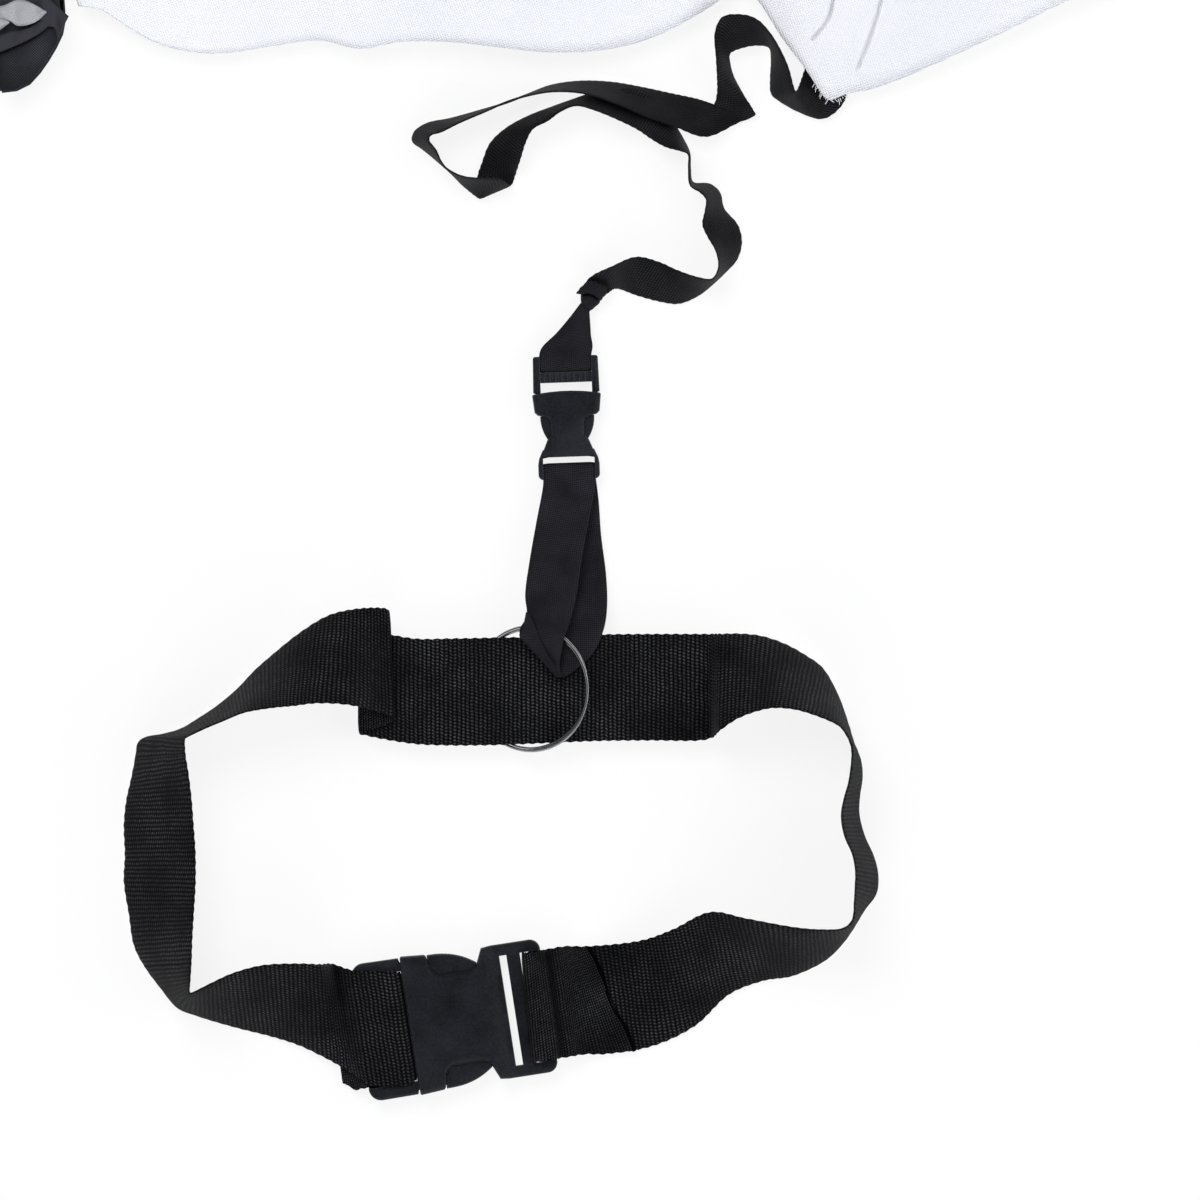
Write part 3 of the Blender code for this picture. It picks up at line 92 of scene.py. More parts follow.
# Cloth: the hem's width, the waves' height and pitch, the flat size of a net panel and its area
HEM_WIDTH = 0.018
WAVE_HEIGHT, WAVE_PITCH = 0.006, 0.235
CANOPY_THICK, NET_THICK, TAPE_THICK = 0.0006, 0.0005, 0.0008
COLS, ROWS, SIDE_COLS = 156, 48, 60
THREAD_RADIUS = 0.00016
# How far up the UV map a strap's back face lies, and how near things darken a surface
BACK_FACE, SHADE_REACH = 0.5, 0.005

# Straps: the grid places of both edges, then the lower edge's height and the stand.
# The belt from the shell of its buckle, by the right side, to the pleat in its back run
BELT_RIGHT = [
    (6.55, 10.455, 6.4, 9.395), (6.95, 10.26, 6.72, 9.28), (7.29, 9.945, 7.1, 9.1),
    (7.62, 9.81, 7.45, 9.16), (7.95, 9.75, 7.93, 9.245), (8.27, 9.59, 8.21, 9.265),
    (8.45, 9.4, 8.41, 9.25), (8.56, 9.23, 8.505, 9.165), (8.65, 9.09, 8.52, 8.98),
    (8.76, 8.94, 8.525, 8.85), (8.78, 8.76, 8.53, 8.69), (8.74, 8.575, 8.5, 8.52),
    (8.645, 8.36, 8.42, 8.33), (8.59, 8.14, 8.39, 8.13), (8.595, 7.96, 8.42, 7.96),
    (8.62, 7.775, 8.465, 7.8), (8.6, 7.59, 8.495, 7.57), (8.525, 7.41, 8.49, 7.43),
    (8.475, 7.23, 8.42, 7.3, 0.04), (8.375, 6.945, 8.33, 7.225, 0.06),
    (8.225, 6.68, 8.11, 7.135, 0.08), (8.05, 6.55, 7.93, 7.085, 0.11),
    (7.84, 6.435, 7.72, 7.07, 0.15), (7.62, 6.36, 7.55, 7.105, 0.19),
    (7.41, 6.335, 7.36, 7.18, 0.23), (7.23, 6.335, 7.2, 7.29, 0.26),
    (7.09, 6.335, 7.1, 7.385, 0.28, FLAT),
]
# The back run, where the ring slides, from right to left. The last number counts layers.
BACK_RUN = [
    (7.0, 6.335, 7.0, 7.405, 0.0), (6.5, 6.335, 6.5, 7.405, 0.0), (6.0, 6.34, 6.0, 7.41, 0.0),
    (5.5, 6.36, 5.5, 7.43, 0.0), (5.0, 6.37, 5.0, 7.45, 0.0), (4.5, 6.38, 4.5, 7.455, 0.0),
    (4.15, 6.38, 4.15, 7.44, 0.0),
]
# The pleat: the run turns back on itself twice
PLEAT = [
    (3.8, 6.31, 3.8, 7.385, 0.0), (3.64, 6.25, 3.64, 7.35, 0.0), (3.6, 6.24, 3.6, 7.34, 0.5),
    (3.64, 6.22, 3.64, 7.32, 1.0), (3.86, 6.14, 3.89, 7.24, 1.0), (3.895, 6.1, 3.94, 7.2, 1.5),
    (3.86, 6.08, 3.89, 7.16, 2.0),
]
# From the pleat, by the left side, to the frame of the buckle, and its loose tail
BELT_TOP_LEFT = [
    (3.54, 6.09, 3.52, 7.045, 0.36), (3.275, 6.16, 3.2, 7.025, 0.32), (3.0, 6.33, 2.96, 7.05, 0.26),
    (2.75, 6.53, 2.78, 7.065, 0.2), (2.55, 6.705, 2.6, 7.09, 0.14), (2.385, 6.88, 2.46, 7.12, 0.09),
    (2.18, 7.055, 2.26, 7.2, 0.05), (1.98, 7.19, 2.1, 7.265), (1.8, 7.295, 1.98, 7.32),
    (1.6, 7.35, 1.905, 7.36), (1.45, 7.375, 1.885, 7.39), (1.385, 7.42, 1.885, 7.45),
]
BELT_SIDE = [
    (1.35, 7.6, 1.89, 7.54), (1.31, 7.8, 1.915, 7.7), (1.265, 8.0, 1.945, 7.95),
    (1.24, 8.25, 1.965, 8.22), (1.25, 8.55, 1.985, 8.52), (1.24, 8.82, 1.985, 8.82),
    (1.29, 9.14, 1.97, 9.1), (1.34, 9.45, 1.955, 9.38),
]
BELT_FRONT = [
    (1.445, 9.66, 1.95, 9.6), (1.6, 9.87, 1.94, 9.78), (1.78, 10.08, 1.94, 9.89),
    (1.95, 10.15, 2.0, 9.87), (2.15, 10.215, 2.16, 9.79), (2.4, 10.285, 2.36, 9.7),
    (2.7, 10.36, 2.65, 9.625, 0.04), (3.0, 10.455, 2.99, 9.61, 0.07),
    (3.25, 10.575, 3.2, 9.62, 0.11),
]
BELT_TAIL = [(3.5, 10.86, 3.38, 9.8, 0.07), (3.43, 10.84, 3.3, 9.78, 0.05)]
# The connector from the small buckle round the ring and back, and its turned edge
CONNECTOR_REAR = [
    (5.46, 5.0, 5.985, 5.0, 0.05), (5.5, 5.35, 6.01, 5.35, 0.07), (5.55, 5.75, 6.06, 5.75, 0.1),
    (5.55, 6.05, 6.07, 6.07, 0.25), (5.56, 6.24, 6.04, 6.28, 0.33), (5.57, 6.44, 5.95, 6.5, 0.345),
    (5.56, 6.62, 5.8, 6.66, 0.34), (5.55, 6.76, 5.64, 6.76, 0.36),
]
CONNECTOR_FRONT = [
    (5.53, 6.73, 5.6, 6.69, 0.41), (5.38, 6.53, 5.625, 6.46, 0.455, 0.1),
    (5.2, 6.33, 5.655, 6.34, 0.44, 0.22), (5.27, 6.16, 5.71, 6.18, 0.42, 0.1),
    (5.255, 5.95, 5.76, 5.97, 0.36, 0.04), (5.3, 5.6, 5.82, 5.58, 0.28),
    (5.37, 5.2, 5.89, 5.2, 0.22), (5.43, 4.88, 5.95, 4.88, 0.19),
]
CONNECTOR_FOLD = [
    (5.262, 6.12, 5.295, 6.14, 0.475), (5.225, 6.3, 5.345, 6.24, 0.498),
    (5.195, 6.36, 5.405, 6.38, 0.505), (5.355, 6.54, 5.475, 6.53, 0.51),
    (5.53, 6.73, 5.57, 6.69, 0.5),
]
# The tab from the knot to the small buckle's frame, and how high it comes back below
TAB_TOP = [
    (5.805, 3.035, 5.893, 3.1, 0.13), (5.68, 3.2, 5.905, 3.28, 0.16),
    (5.56, 3.34, 5.91, 3.36, 0.17), (5.42, 3.48, 5.925, 3.47, 0.18),
]
TAB_UNDER_LOWS = (0.06, 0.06, 0.07, 0.07)
# The leader from the mesh apex to the knot. Edge a starts on the left.
LEADER_RUN = [
    (8.1, 0.5, 8.52, 0.7, 0.17, FLAT), (8.02, 0.76, 8.44, 1.03, 0.1, FLAT),
    (7.97, 0.9, 8.23, 1.195, 0.08, DOWN), (7.95, 0.93, 8.0, 1.13, 0.05, DOWN),
    (7.94, 0.92, 7.8, 1.02, 0.05, DOWN), (7.925, 0.87, 7.715, 0.95, 0.05, DOWN),
    (7.875, 0.69, 7.7, 0.78, 0.06, DOWN), (7.785, 0.5, 7.71, 0.61, 0.08, DOWN),
    (7.68, 0.34, 7.69, 0.485, 0.12, DOWN), (7.57, 0.225, 7.56, 0.465, 0.17, DOWN),
    (7.42, 0.17, 7.41, 0.495, 0.2, DOWN), (7.22, 0.19, 7.3, 0.55, 0.19, DOWN),
    (7.145, 0.34, 7.3, 0.64, 0.15, DOWN), (7.155, 0.6, 7.34, 0.78, 0.11, DOWN),
    (7.165, 0.8, 7.43, 0.94, 0.1, DOWN), (7.16, 0.97, 7.53, 1.1, 0.12, FLAT),
    (7.14, 1.04, 7.555, 1.155, 0.1, FLAT), (7.1, 1.03, 7.38, 1.235, 0.06, FLAT),
    (6.96, 0.985, 7.06, 1.38, 0.035), (6.7, 0.93, 6.74, 1.28), (6.42, 0.87, 6.45, 1.18),
    (6.12, 0.82, 6.16, 1.06), (5.8, 0.81, 5.84, 0.96), (5.5, 0.855, 5.54, 0.94),
    (5.25, 0.955, 5.27, 0.98), (5.05, 1.035, 5.06, 1.045), (4.78, 1.11, 4.84, 1.145),
    (4.5, 1.185, 4.6, 1.25), (4.26, 1.235, 4.42, 1.34), (4.14, 1.32, 4.32, 1.37),
    (4.12, 1.41, 4.3, 1.42), (4.22, 1.49, 4.37, 1.52), (4.36, 1.6, 4.42, 1.635),
    (4.5, 1.72, 4.48, 1.71), (4.62, 1.85, 4.66, 1.785, 0.04), (4.76, 1.97, 4.98, 1.8, 0.08),
    (4.8, 1.985, 5.11, 1.855, 0.1, FLAT), (4.8, 1.96, 5.13, 1.83, 0.065, FLAT),
    (4.77, 1.8, 5.155, 1.76, 0.035, FLAT), (4.82, 1.62, 5.21, 1.6), (4.9, 1.43, 5.26, 1.44),
    (5.06, 1.28, 5.335, 1.305), (5.28, 1.16, 5.485, 1.225), (5.52, 1.07, 5.61, 1.135, 0.05),
    (5.72, 1.0, 5.76, 1.08, 0.08), (5.92, 0.93, 5.94, 1.125, 0.11), (6.14, 0.89, 6.18, 1.22, 0.13),
    (6.35, 0.89, 6.38, 1.315, 0.14), (6.54, 0.98, 6.52, 1.41, 0.12), (6.68, 1.15, 6.66, 1.49, 0.09),
    (6.8, 1.33, 6.8, 1.53, 0.06), (6.89, 1.52, 6.885, 1.57), (6.9, 1.68, 6.885, 1.69),
    (6.93, 1.825, 6.9, 1.87), (7.1, 1.84, 6.995, 1.94), (7.2, 1.925, 7.055, 2.01),
    (7.24, 2.08, 7.045, 2.12), (7.38, 2.25, 7.02, 2.26), (7.42, 2.42, 7.075, 2.385),
    (7.37, 2.6, 7.15, 2.52), (7.25, 2.73, 7.18, 2.68), (7.12, 2.85, 7.12, 2.8),
    (7.0, 2.95, 6.98, 2.785), (6.79, 3.04, 6.76, 2.705), (6.6, 3.02, 6.59, 2.625),
    (6.36, 2.955, 6.36, 2.575), (6.18, 2.89, 6.12, 2.675, 0.05),
    (6.09, 2.93, 5.885, 2.785, 0.08, FLAT), (6.01, 2.995, 5.805, 2.905, 0.11, FLAT),
]
# Cloth: the lines that the sheets hang between, from the left corner to the right one
FRONT_HEM = [
    (0.02, 0.93), (0.26, 0.88), (0.58, 0.46), (0.66, 0.2), (0.56, -0.02), (0.6, -0.7), (1.4, -2.1),
    (3.4, -3.5), (6.2, -4.5), (9.5, -4.9), (12.8, -4.6), (15.8, -3.6), (18.0, -2.3), (19.6, -0.95),
]
FOLD = [
    (-0.7, -10.2), (0.6, -12.0), (2.6, -13.4), (5.6, -14.5), (9.6, -15.0), (13.6, -14.6),
    (16.8, -13.6), (19.0, -12.3), (20.3, -10.6),
]
MESH_EDGE = [
    (0.8, 0.08), (1.02, 0.115), (1.28, 0.28), (1.58, 0.45), (1.99, 0.54), (2.3, 0.54),
    (2.755, 0.47), (3.21, 0.42), (3.6, 0.505), (4.0, 0.44), (4.48, 0.44), (4.96, 0.49),
    (5.435, 0.54), (5.91, 0.53), (6.23, 0.48), (6.55, 0.38), (6.87, 0.22), (7.19, 0.02),
    (7.38, -0.15), (7.56, 0.0), (7.83, 0.41), (8.05, 0.7), (8.19, 0.91), (8.28, 1.01), (8.46, 0.95),
    (8.79, 0.88), (9.57, 0.55), (10.0, 0.35), (10.72, 0.0), (12.0, -0.5), (14.0, -0.9),
    (16.5, -1.1), (18.2, -1.0), (19.2, -0.85),
]
# The side panels: the edge that meets the front panel, then the line that each is folded on
LEFT_SIDE = [(1.0, -0.15), (2.2, 0.25), (4.0, 0.2), (5.9, 0.25), (6.8, -0.05), (7.7, -0.35)]
LEFT_FOLD = [(1.2, -9.3), (2.6, -7.3), (4.0, -5.3), (5.4, -3.4), (6.8, -1.7), (7.9, -0.62)]
RIGHT_SIDE = [(8.95, 0.4), (10.6, -0.3), (12.4, -0.9), (14.4, -1.25), (16.4, -1.45), (18.3, -1.45)]
RIGHT_FOLD = [(8.9, -0.1), (10.4, -1.6), (12.0, -3.2), (13.8, -4.9), (15.6, -6.5), (17.4, -8.0)]
# The knot's band over its pinched strap, and the frayed edge at the apex
KNOT_BAND = [
    (5.76, 2.94), (5.8, 2.884), (5.866, 2.822), (5.965, 2.815), (6.075, 2.862), (6.07, 2.93),
    (6.008, 3.012), (5.944, 2.962), (5.88, 2.938), (5.816, 2.952),
]
KNOT_PINCH = [
    (5.808, 2.93), (5.88, 2.915), (6.0, 2.975), (6.0, 3.03), (5.945, 3.08), (5.888, 3.124),
    (5.848, 3.1), (5.808, 3.052),
]
FRAYS = [
    (8.14, 0.85), (8.19, 0.91), (8.24, 0.97), (8.28, 1.0), (8.34, 1.0), (8.4, 0.99), (8.46, 0.95),
]
APEX_PLACE = (8.25, 0.80)
# The folded corner at the upper left: two edges of each piece, from left to right
CORNER_NET = (
    (
        [(-0.20, 0.10), (0.06, 0.09), (0.19, 0.03), (0.32, 0.05), (0.49, 0.148)],
        [(-0.20, 0.17), (0.13, 0.24), (0.20, 0.285), (0.38, 0.25), (0.49, 0.152)],
    ),
    (
        [(-0.20, 0.22), (-0.05, 0.20), (0.03, 0.21), (0.12, 0.25)],
        [(-0.20, 0.44), (-0.05, 0.37), (0.02, 0.33), (0.122, 0.254)],
    ),
)
CORNER_FOLD = (
    ([(0.45, -0.05), (0.64, 0.13), (0.71, 0.19)], [(0.42, 0.30), (0.56, 0.30), (0.60, 0.42)]),
    (
        [(-0.20, 0.50), (0.08, 0.36), (0.30, 0.31), (0.46, 0.20)],
        [(-0.20, 0.62), (0.14, 0.50), (0.40, 0.37), (0.56, 0.24)],
    ),
)
SEAMS = (
    [(8.79, -0.10), (8.80, 0.02), (8.74, 0.25), (8.66, 0.48), (8.57, 0.70)],
    [(8.36, -0.10), (8.33, 0.0), (8.27, 0.22), (8.12, 0.41)],
)
# Along the shell's waist: shares of the wall's thickness on from the collar and out from the window
FILLET = [(0.5, 2.0), (1.5, 0.5), (2.5, 0.0)]
# The studio's brightness from straight below to straight above
SKY = [(0.0, 0.06), (0.36, 0.10), (0.44, 1.6), (0.53, 1.6), (0.60, 0.24), (1.0, 0.16)]

# Buckles: the wide one, then the narrow one. X runs from the mouth of the shell into it, Z is
# from mid height, and "half" is half a width.
BUCKLE_SIZES = {
    "name": ("belt_buckle", "quick_buckle"),
    "bodies": (
        ("belt", "belt_front", "belt_prong_a", "belt_prong_b"),
        ("connector", "sail", "quick_prong_a", "quick_prong_b"),
    ),
    "middle": ((4.104, 10.253), (5.665, 3.94)),
    "turn": (math.radians(8.8), math.radians(-88)),
    "height": (0.0070, 0.0058),
    "width": (BELT[0], CONNECTOR[0]),
    "rail_gap": (0.0002, -0.0002),
    "collar_half": (0.0307, 0.0151),
    "window_half": (0.0202, 0.0074),
    "frame_half": (0.0295, 0.0135),
    "collar_length": (0.0114, 0.0092),
    "collar_taper": (0.0008, 0.0008),
    "collar_chamfer": (0.0007, 0.0013),
    "catch_inset": (0.0022, 0.0036),
    "mouth_bulge": (0, 0.0013),
    "window_end": (0.0323, 0.0203),
    "waist_rise": (0.0010, 0.0020),
    "frame_start": (0.0358, 0.0282),
    "shell_length": (0.0616, 0.0376),
    "shell_round": (0.0046, 0.0022),
    "shell_half_height": (0.0063, 0.0052),
    "frame_half_height": (0.0036, 0.0032),
    "wall": (0.0020, 0.0014),
    "cavity_depth": (0.0375, 0.0245),
    "slot_start": (0.0433, 0.0277),
    "slot_end": (0.0465, 0.0277),
    "end_slot_start": (0.0524, 0.0277),
    "end_bar_start": (0.0562, 0.0323),
    "end_bar_length": (0.0046, 0.0036),
    "end_bar_half": (0.0020, 0.0014),
    "reach": (0.0222, 0.0166),
    "outer_bar_length": (0.0066, 0.0051),
    "outer_bar_top": (0.0004, 0.0014),
    "inner_bar_start": (0.0069, 0.0096),
    "inner_bar_length": (0.0043, 0.0046),
    "inner_bar_half": (0.0022, 0.0022),
    "rail_taper": (0.0003, 0.0008),
    "rail_round": (0.0055, 0.0010),
    "mouth_gap": (0.0004, 0.0002),
    "neck_bar": (0.0022, 0.0016),
    "neck_half": (0.0170, 0.0070),
    "neck_length": (0.0080, 0.0055),
    "tongue_half": (0.0050, 0.0030),
    "tongue_half_height": (0.0020, 0.0014),
    "tongue_length": (0.0300, 0.0190),
    "prong_half_height": (0.0038, 0.0031),
    "pivot_along": (0.0046, 0.0033),
    "pivot_across": (0.0235, 0.0100),
    "pivot_radius": (0.0019, 0.0013),
    "prong_lap": (0.0010, 0.0008),
    "tab_inset": (0.0011, 0.0032),
    "tab_end": (0.0330, 0.0208),
    "tab_drop": (0.0064, 0.0036),
    "tab_power": (2.5, 2.2),
    "tab_half_height": (0.0055, 0),
    "tab_near": (0.0030, 0),
    "tab_far": (0.0052, 0),
    "grooves": (0, 8),
}
BELT_BUCKLE, QUICK_BUCKLE = (
    SimpleNamespace(**{name: sizes[k] for name, sizes in BUCKLE_SIZES.items()}) for k in (0, 1)
)
CORNER_ROUND, CORNER_STEPS = 0.45, 5
FLAT_POINTS = (0.6, 0.2, -0.2, -0.6)
# Edges of moulded parts, the prongs' blunt ends, and how far a cut goes past what it cuts
EDGE, TAB_BLUNT, PAST = 0.0005, 0.0004, 0.002
# The play between the plug and the shell
PLAY = 0.0004


def place(right, down, height=0.0):
    """The world point of a place in the plan."""
    return Vector(((right - ORIGIN_RIGHT) * GRID, (ORIGIN_DOWN - down) * GRID, height))


def lengths(points):
    """How far along a line of points each one lies."""
    return np.concatenate([[0], np.cumsum(np.linalg.norm(np.diff(points, axis=0), axis=1))])


def read(wanted, places, rows):
    """Rows of numbers, read between their places."""
    return np.stack([np.interp(wanted, places, column) for column in np.transpose(rows)], axis=1)


def mixed(t, start, end, one, two):
    """What lies at t between the values at the start and the end."""
    return ((end - t) * one + (t - start) * two) / (end - start)


def spline(rows, steps):
    """Rows read from a centripetal Catmull-Rom curve through the given rows of numbers."""
    rows = np.asarray(rows, float)
    rows = np.vstack([2 * rows[0] - rows[1], rows, 2 * rows[-1] - rows[-2]])
    knots = np.concatenate([[0], np.cumsum(np.linalg.norm(np.diff(rows, axis=0), axis=1) ** 0.5)])
    made = []
    for i in range(1, len(rows) - 2):
        p, k = rows[i - 1 : i + 3], knots[i - 1 : i + 3]
        for t in np.linspace(k[1], k[2], steps, endpoint=False):
            a = [mixed(t, k[j], k[j + 1], p[j], p[j + 1]) for j in range(3)]
            b = [mixed(t, k[j], k[j + 2], a[j], a[j + 1]) for j in range(2)]
            made.append(mixed(t, k[1], k[2], *b))
    made.append(rows[-2])
    return np.array(made)


def edge_rows(table, webbing, stand=UP):
    """Both edges of a strap at each row of a table, as six numbers in metres."""
    width, _, drawn = webbing
    rows = []
    for a_right, a_down, b_right, b_down, *more in table:
        low, lean = (*more, *(USUAL_LOW, stand)[len(more) :])
        a, b = place(a_right, a_down), place(b_right, b_down)
        middle, across = (a + b) / 2, (b - a) / GRID / drawn * width
        rise = lean * width
        if lean in (UP, DOWN):
            rise = lean * math.sqrt(max(width**2 - across.length_squared, 0))
        middle.z = low * GRID + abs(rise) / 2
        across.z = rise
        rows.append([*(middle - across / 2), *(middle + across / 2)])
    return rows


def buckle_row(size, along, height, skew=0.0, drift=0.0, spill=0.0):
    """A strap's row at a place of a buckle. It may be skewed, set off or wider than the slot."""
    turn, half = Matrix.Rotation(size.turn, 3, "Z"), size.width / 2 + spill
    row = []
    for way in (-1, 1):
        off = turn @ Vector((along - way * skew, drift + way * half, height))
        row.extend(place(*size.middle, size.height) + off)
    return row


def bend_rows(size, bar, near, high, low):
    """A strap's turn beside a bar: from the height over it to the height under it."""
    middle, half = (high + low) / 2, (high - low) / 2
    ease = near + (bar - near) * 0.2
    turn = ((ease, middle + half * 0.7), (near, middle), (ease, middle - half * 0.7))
    return [buckle_row(size, *row) for row in turn]


def shell_loop_rows(size):
    """The belt end sewn round the shell's end bar, with a slack roll that lies skewed before it."""
    row, thick = partial(buckle_row, size), BELT[1]
    off = size.end_bar_half + TOUCH + thick / 2
    near = size.end_bar_start - TOUCH - thick / 2
    bar, far, end = size.end_bar_start, size.shell_length, size.end_bar_start + size.end_bar_length
    floor = thick / 2 + 2 * TOUCH - size.height
    above = floor + thick + TOUCH
    lay = BELT_FLAP - far
    drift, lean = BELT_FLAP_DRIFT * 0.75, ROLL_SKEW
    crest = size.frame_half_height + thick / 2 + 0.0018
    return [
        row(BELT_FLAP, above + 0.0004, BELT_FLAP_SKEW, BELT_FLAP_DRIFT),
        row(far + lay * 0.75, above, BELT_FLAP_SKEW * 0.75, drift),
        row(far + lay * 0.4, (above + off) / 2),
        row(far + 0.0062, off + 0.0002),
        row(far + 0.0024, off - 0.0012, lean / 4),
        row(far + 0.0012, off - 0.0002, lean / 4),
        row(far + 0.0008, off + 0.0026, lean / 4),
        row((bar + far) / 2, crest + 0.0012, lean / 2),
        row(bar, crest + 0.0014, lean),
        row(bar - 0.0026, crest + 0.0010, lean),
        row(size.end_slot_start - 0.0001, crest - 0.0001, lean, spill=0.0006),
        row(bar - 0.0024, crest - 0.0007, lean / 2),
        row(near - 0.0004, off),
        row(near, 0.0010),
        row(near, -0.0010),
        row(bar, -off),
        row(end, -off),
        row(far + lay * 0.12, (floor - off * 3) / 4),
        row(far + lay * 0.4, floor),
        row(far + lay * 0.75, floor, drift=drift),
    ]


def frame_loop_rows(size):
    """The belt over the frame's bars and rails, round the inner bar and out over the outer one."""
    row, thick = partial(buckle_row, size), BELT[1]
    off = size.inner_bar_half + TOUCH + thick / 2
    under = size.outer_bar_top + TOUCH + thick / 2
    over = size.frame_half_height + 0.0005 + thick / 2
    start, reach = size.inner_bar_start, size.reach
    end = size.inner_bar_length - start
    near = end + BAR_TUCK + thick / 2
    outer_end = size.outer_bar_length - reach
    slot = -start - outer_end
    drift, spill = BELT_FRONT_DRIFT, RAIL_SPILL
    return [
        row(-reach - slot * 0.8, over * 0.1, drift=drift),
        row(-reach - slot * 0.3, over * 0.7, drift=drift * 0.62, spill=spill / 2),
        row(-reach - slot * 0.12, over * 0.9, drift=drift * 0.48, spill=spill * 0.8),
        row(-reach, over, drift=drift * 0.38, spill=spill),
        row(-start, over + 0.0003, spill=spill),
        row(end - 0.0012, over, spill=spill * 0.7),
        row(near - 0.0003, over - 0.0012, spill=-0.0002),
        row(near, 0),
        row(near - 0.0003, 0.0006 - off),
        row(end, -off),
        row(-start, -off),
        row(-start - slot * 0.3, -off * 0.8),
        row(-start - slot * 0.75, under * 0.45),
        row(outer_end, under),
        row(-reach, under),
        row(-reach - slot * 0.3, under - over * 0.45),
        row(-reach - slot * 0.8, under - over * 1.05),
    ]


def pleat_rows():
    """The back run and the two turns of the pleat."""
    rows = BACK_RUN + PLEAT
    table = [(*edges, (BELT_LIFT + layer * PLEAT_STEP) / GRID) for *edges, layer in rows]
    return edge_rows(table, BELT, FLAT)


def connector_rows():
    """The connector from below the small shell's end bar, round the ring and back over the bar."""
    size, thick = QUICK_BUCKLE, CONNECTOR[1]
    row = partial(buckle_row, size)
    off = size.end_bar_half + TOUCH + thick / 2
    bar, end = size.end_bar_start, size.end_bar_start + size.end_bar_length
    near = bar - BAR_TUCK - thick / 2
    rows = [row(end, -off - thick - TOUCH)]
    rows += edge_rows(CONNECTOR_REAR + CONNECTOR_FRONT, CONNECTOR, FLAT)
    rows += [row(size.shell_length, off), row(bar, off), *bend_rows(size, bar, near, off, -off)]
    return rows + [row(bar, -off), row(end, -off)]


def tab_rows():
    """The tab from the knot, over and round the small frame's outer bar and back."""
    size, thick = QUICK_BUCKLE, CONNECTOR[1]
    row, reach = partial(buckle_row, size), size.reach
    top = size.outer_bar_top + TOUCH + thick / 2
    low = -size.inner_bar_half - TOUCH - thick / 2
    end = size.outer_bar_length - reach
    near = end + BAR_TUCK + thick / 2
    under = [(*row[:4], under_low) for row, under_low in zip(TAB_TOP[::-1], TAB_UNDER_LOWS)]
    rows = edge_rows(TAB_TOP, CONNECTOR, FLAT)
    rows += [row(-reach, top), row(end, top), *bend_rows(size, end, near, top, low)]
    return rows + [row(end, low), row(-reach, low)] + edge_rows(under, CONNECTOR, FLAT)


def cloth_levels():
    """Heights of the middle of each layer, from the floor up."""
    sheet, tape, clear = 0.001, 0.0009, 0.0009
    levels = {"canopy_back": sheet / 2, "mesh_back": sheet / 2}
    levels["hem_back"] = levels["canopy_back"] + (sheet + tape) / 2 + TOUCH
    levels["mesh_over_hem"] = levels["hem_back"] + (tape + sheet) / 2 + TOUCH
    levels["side_low"] = levels["mesh_over_hem"] + sheet + TOUCH
    levels["side_high"] = levels["side_low"] + 2 * sheet + TOUCH
    levels["mesh_front"] = levels["side_high"] + sheet + 2 * clear
    levels["canopy_front"] = levels["mesh_front"] + sheet + clear
    levels["hem_front"] = levels["canopy_front"] + (sheet + tape) / 2 + clear
    return levels


LEVELS = cloth_levels()


# ---- Materials ----


class Signal:
    """An output of a node, which arithmetic can be written with."""

    def __init__(self, graph, socket):
        self.graph, self.socket = graph, socket

    def __add__(self, other):
        return self.graph.math("ADD", self, other)

    def __sub__(self, other):
        return self.graph.math("SUBTRACT", self, other)

    def __rsub__(self, other):
        return self.graph.math("SUBTRACT", other, self)

    def __mul__(self, other):
        return self.graph.math("MULTIPLY", self, other)

    def __truediv__(self, other):
        return self.graph.math("DIVIDE", self, other)

    def __pow__(self, other):
        return self.graph.math("POWER", self, other)


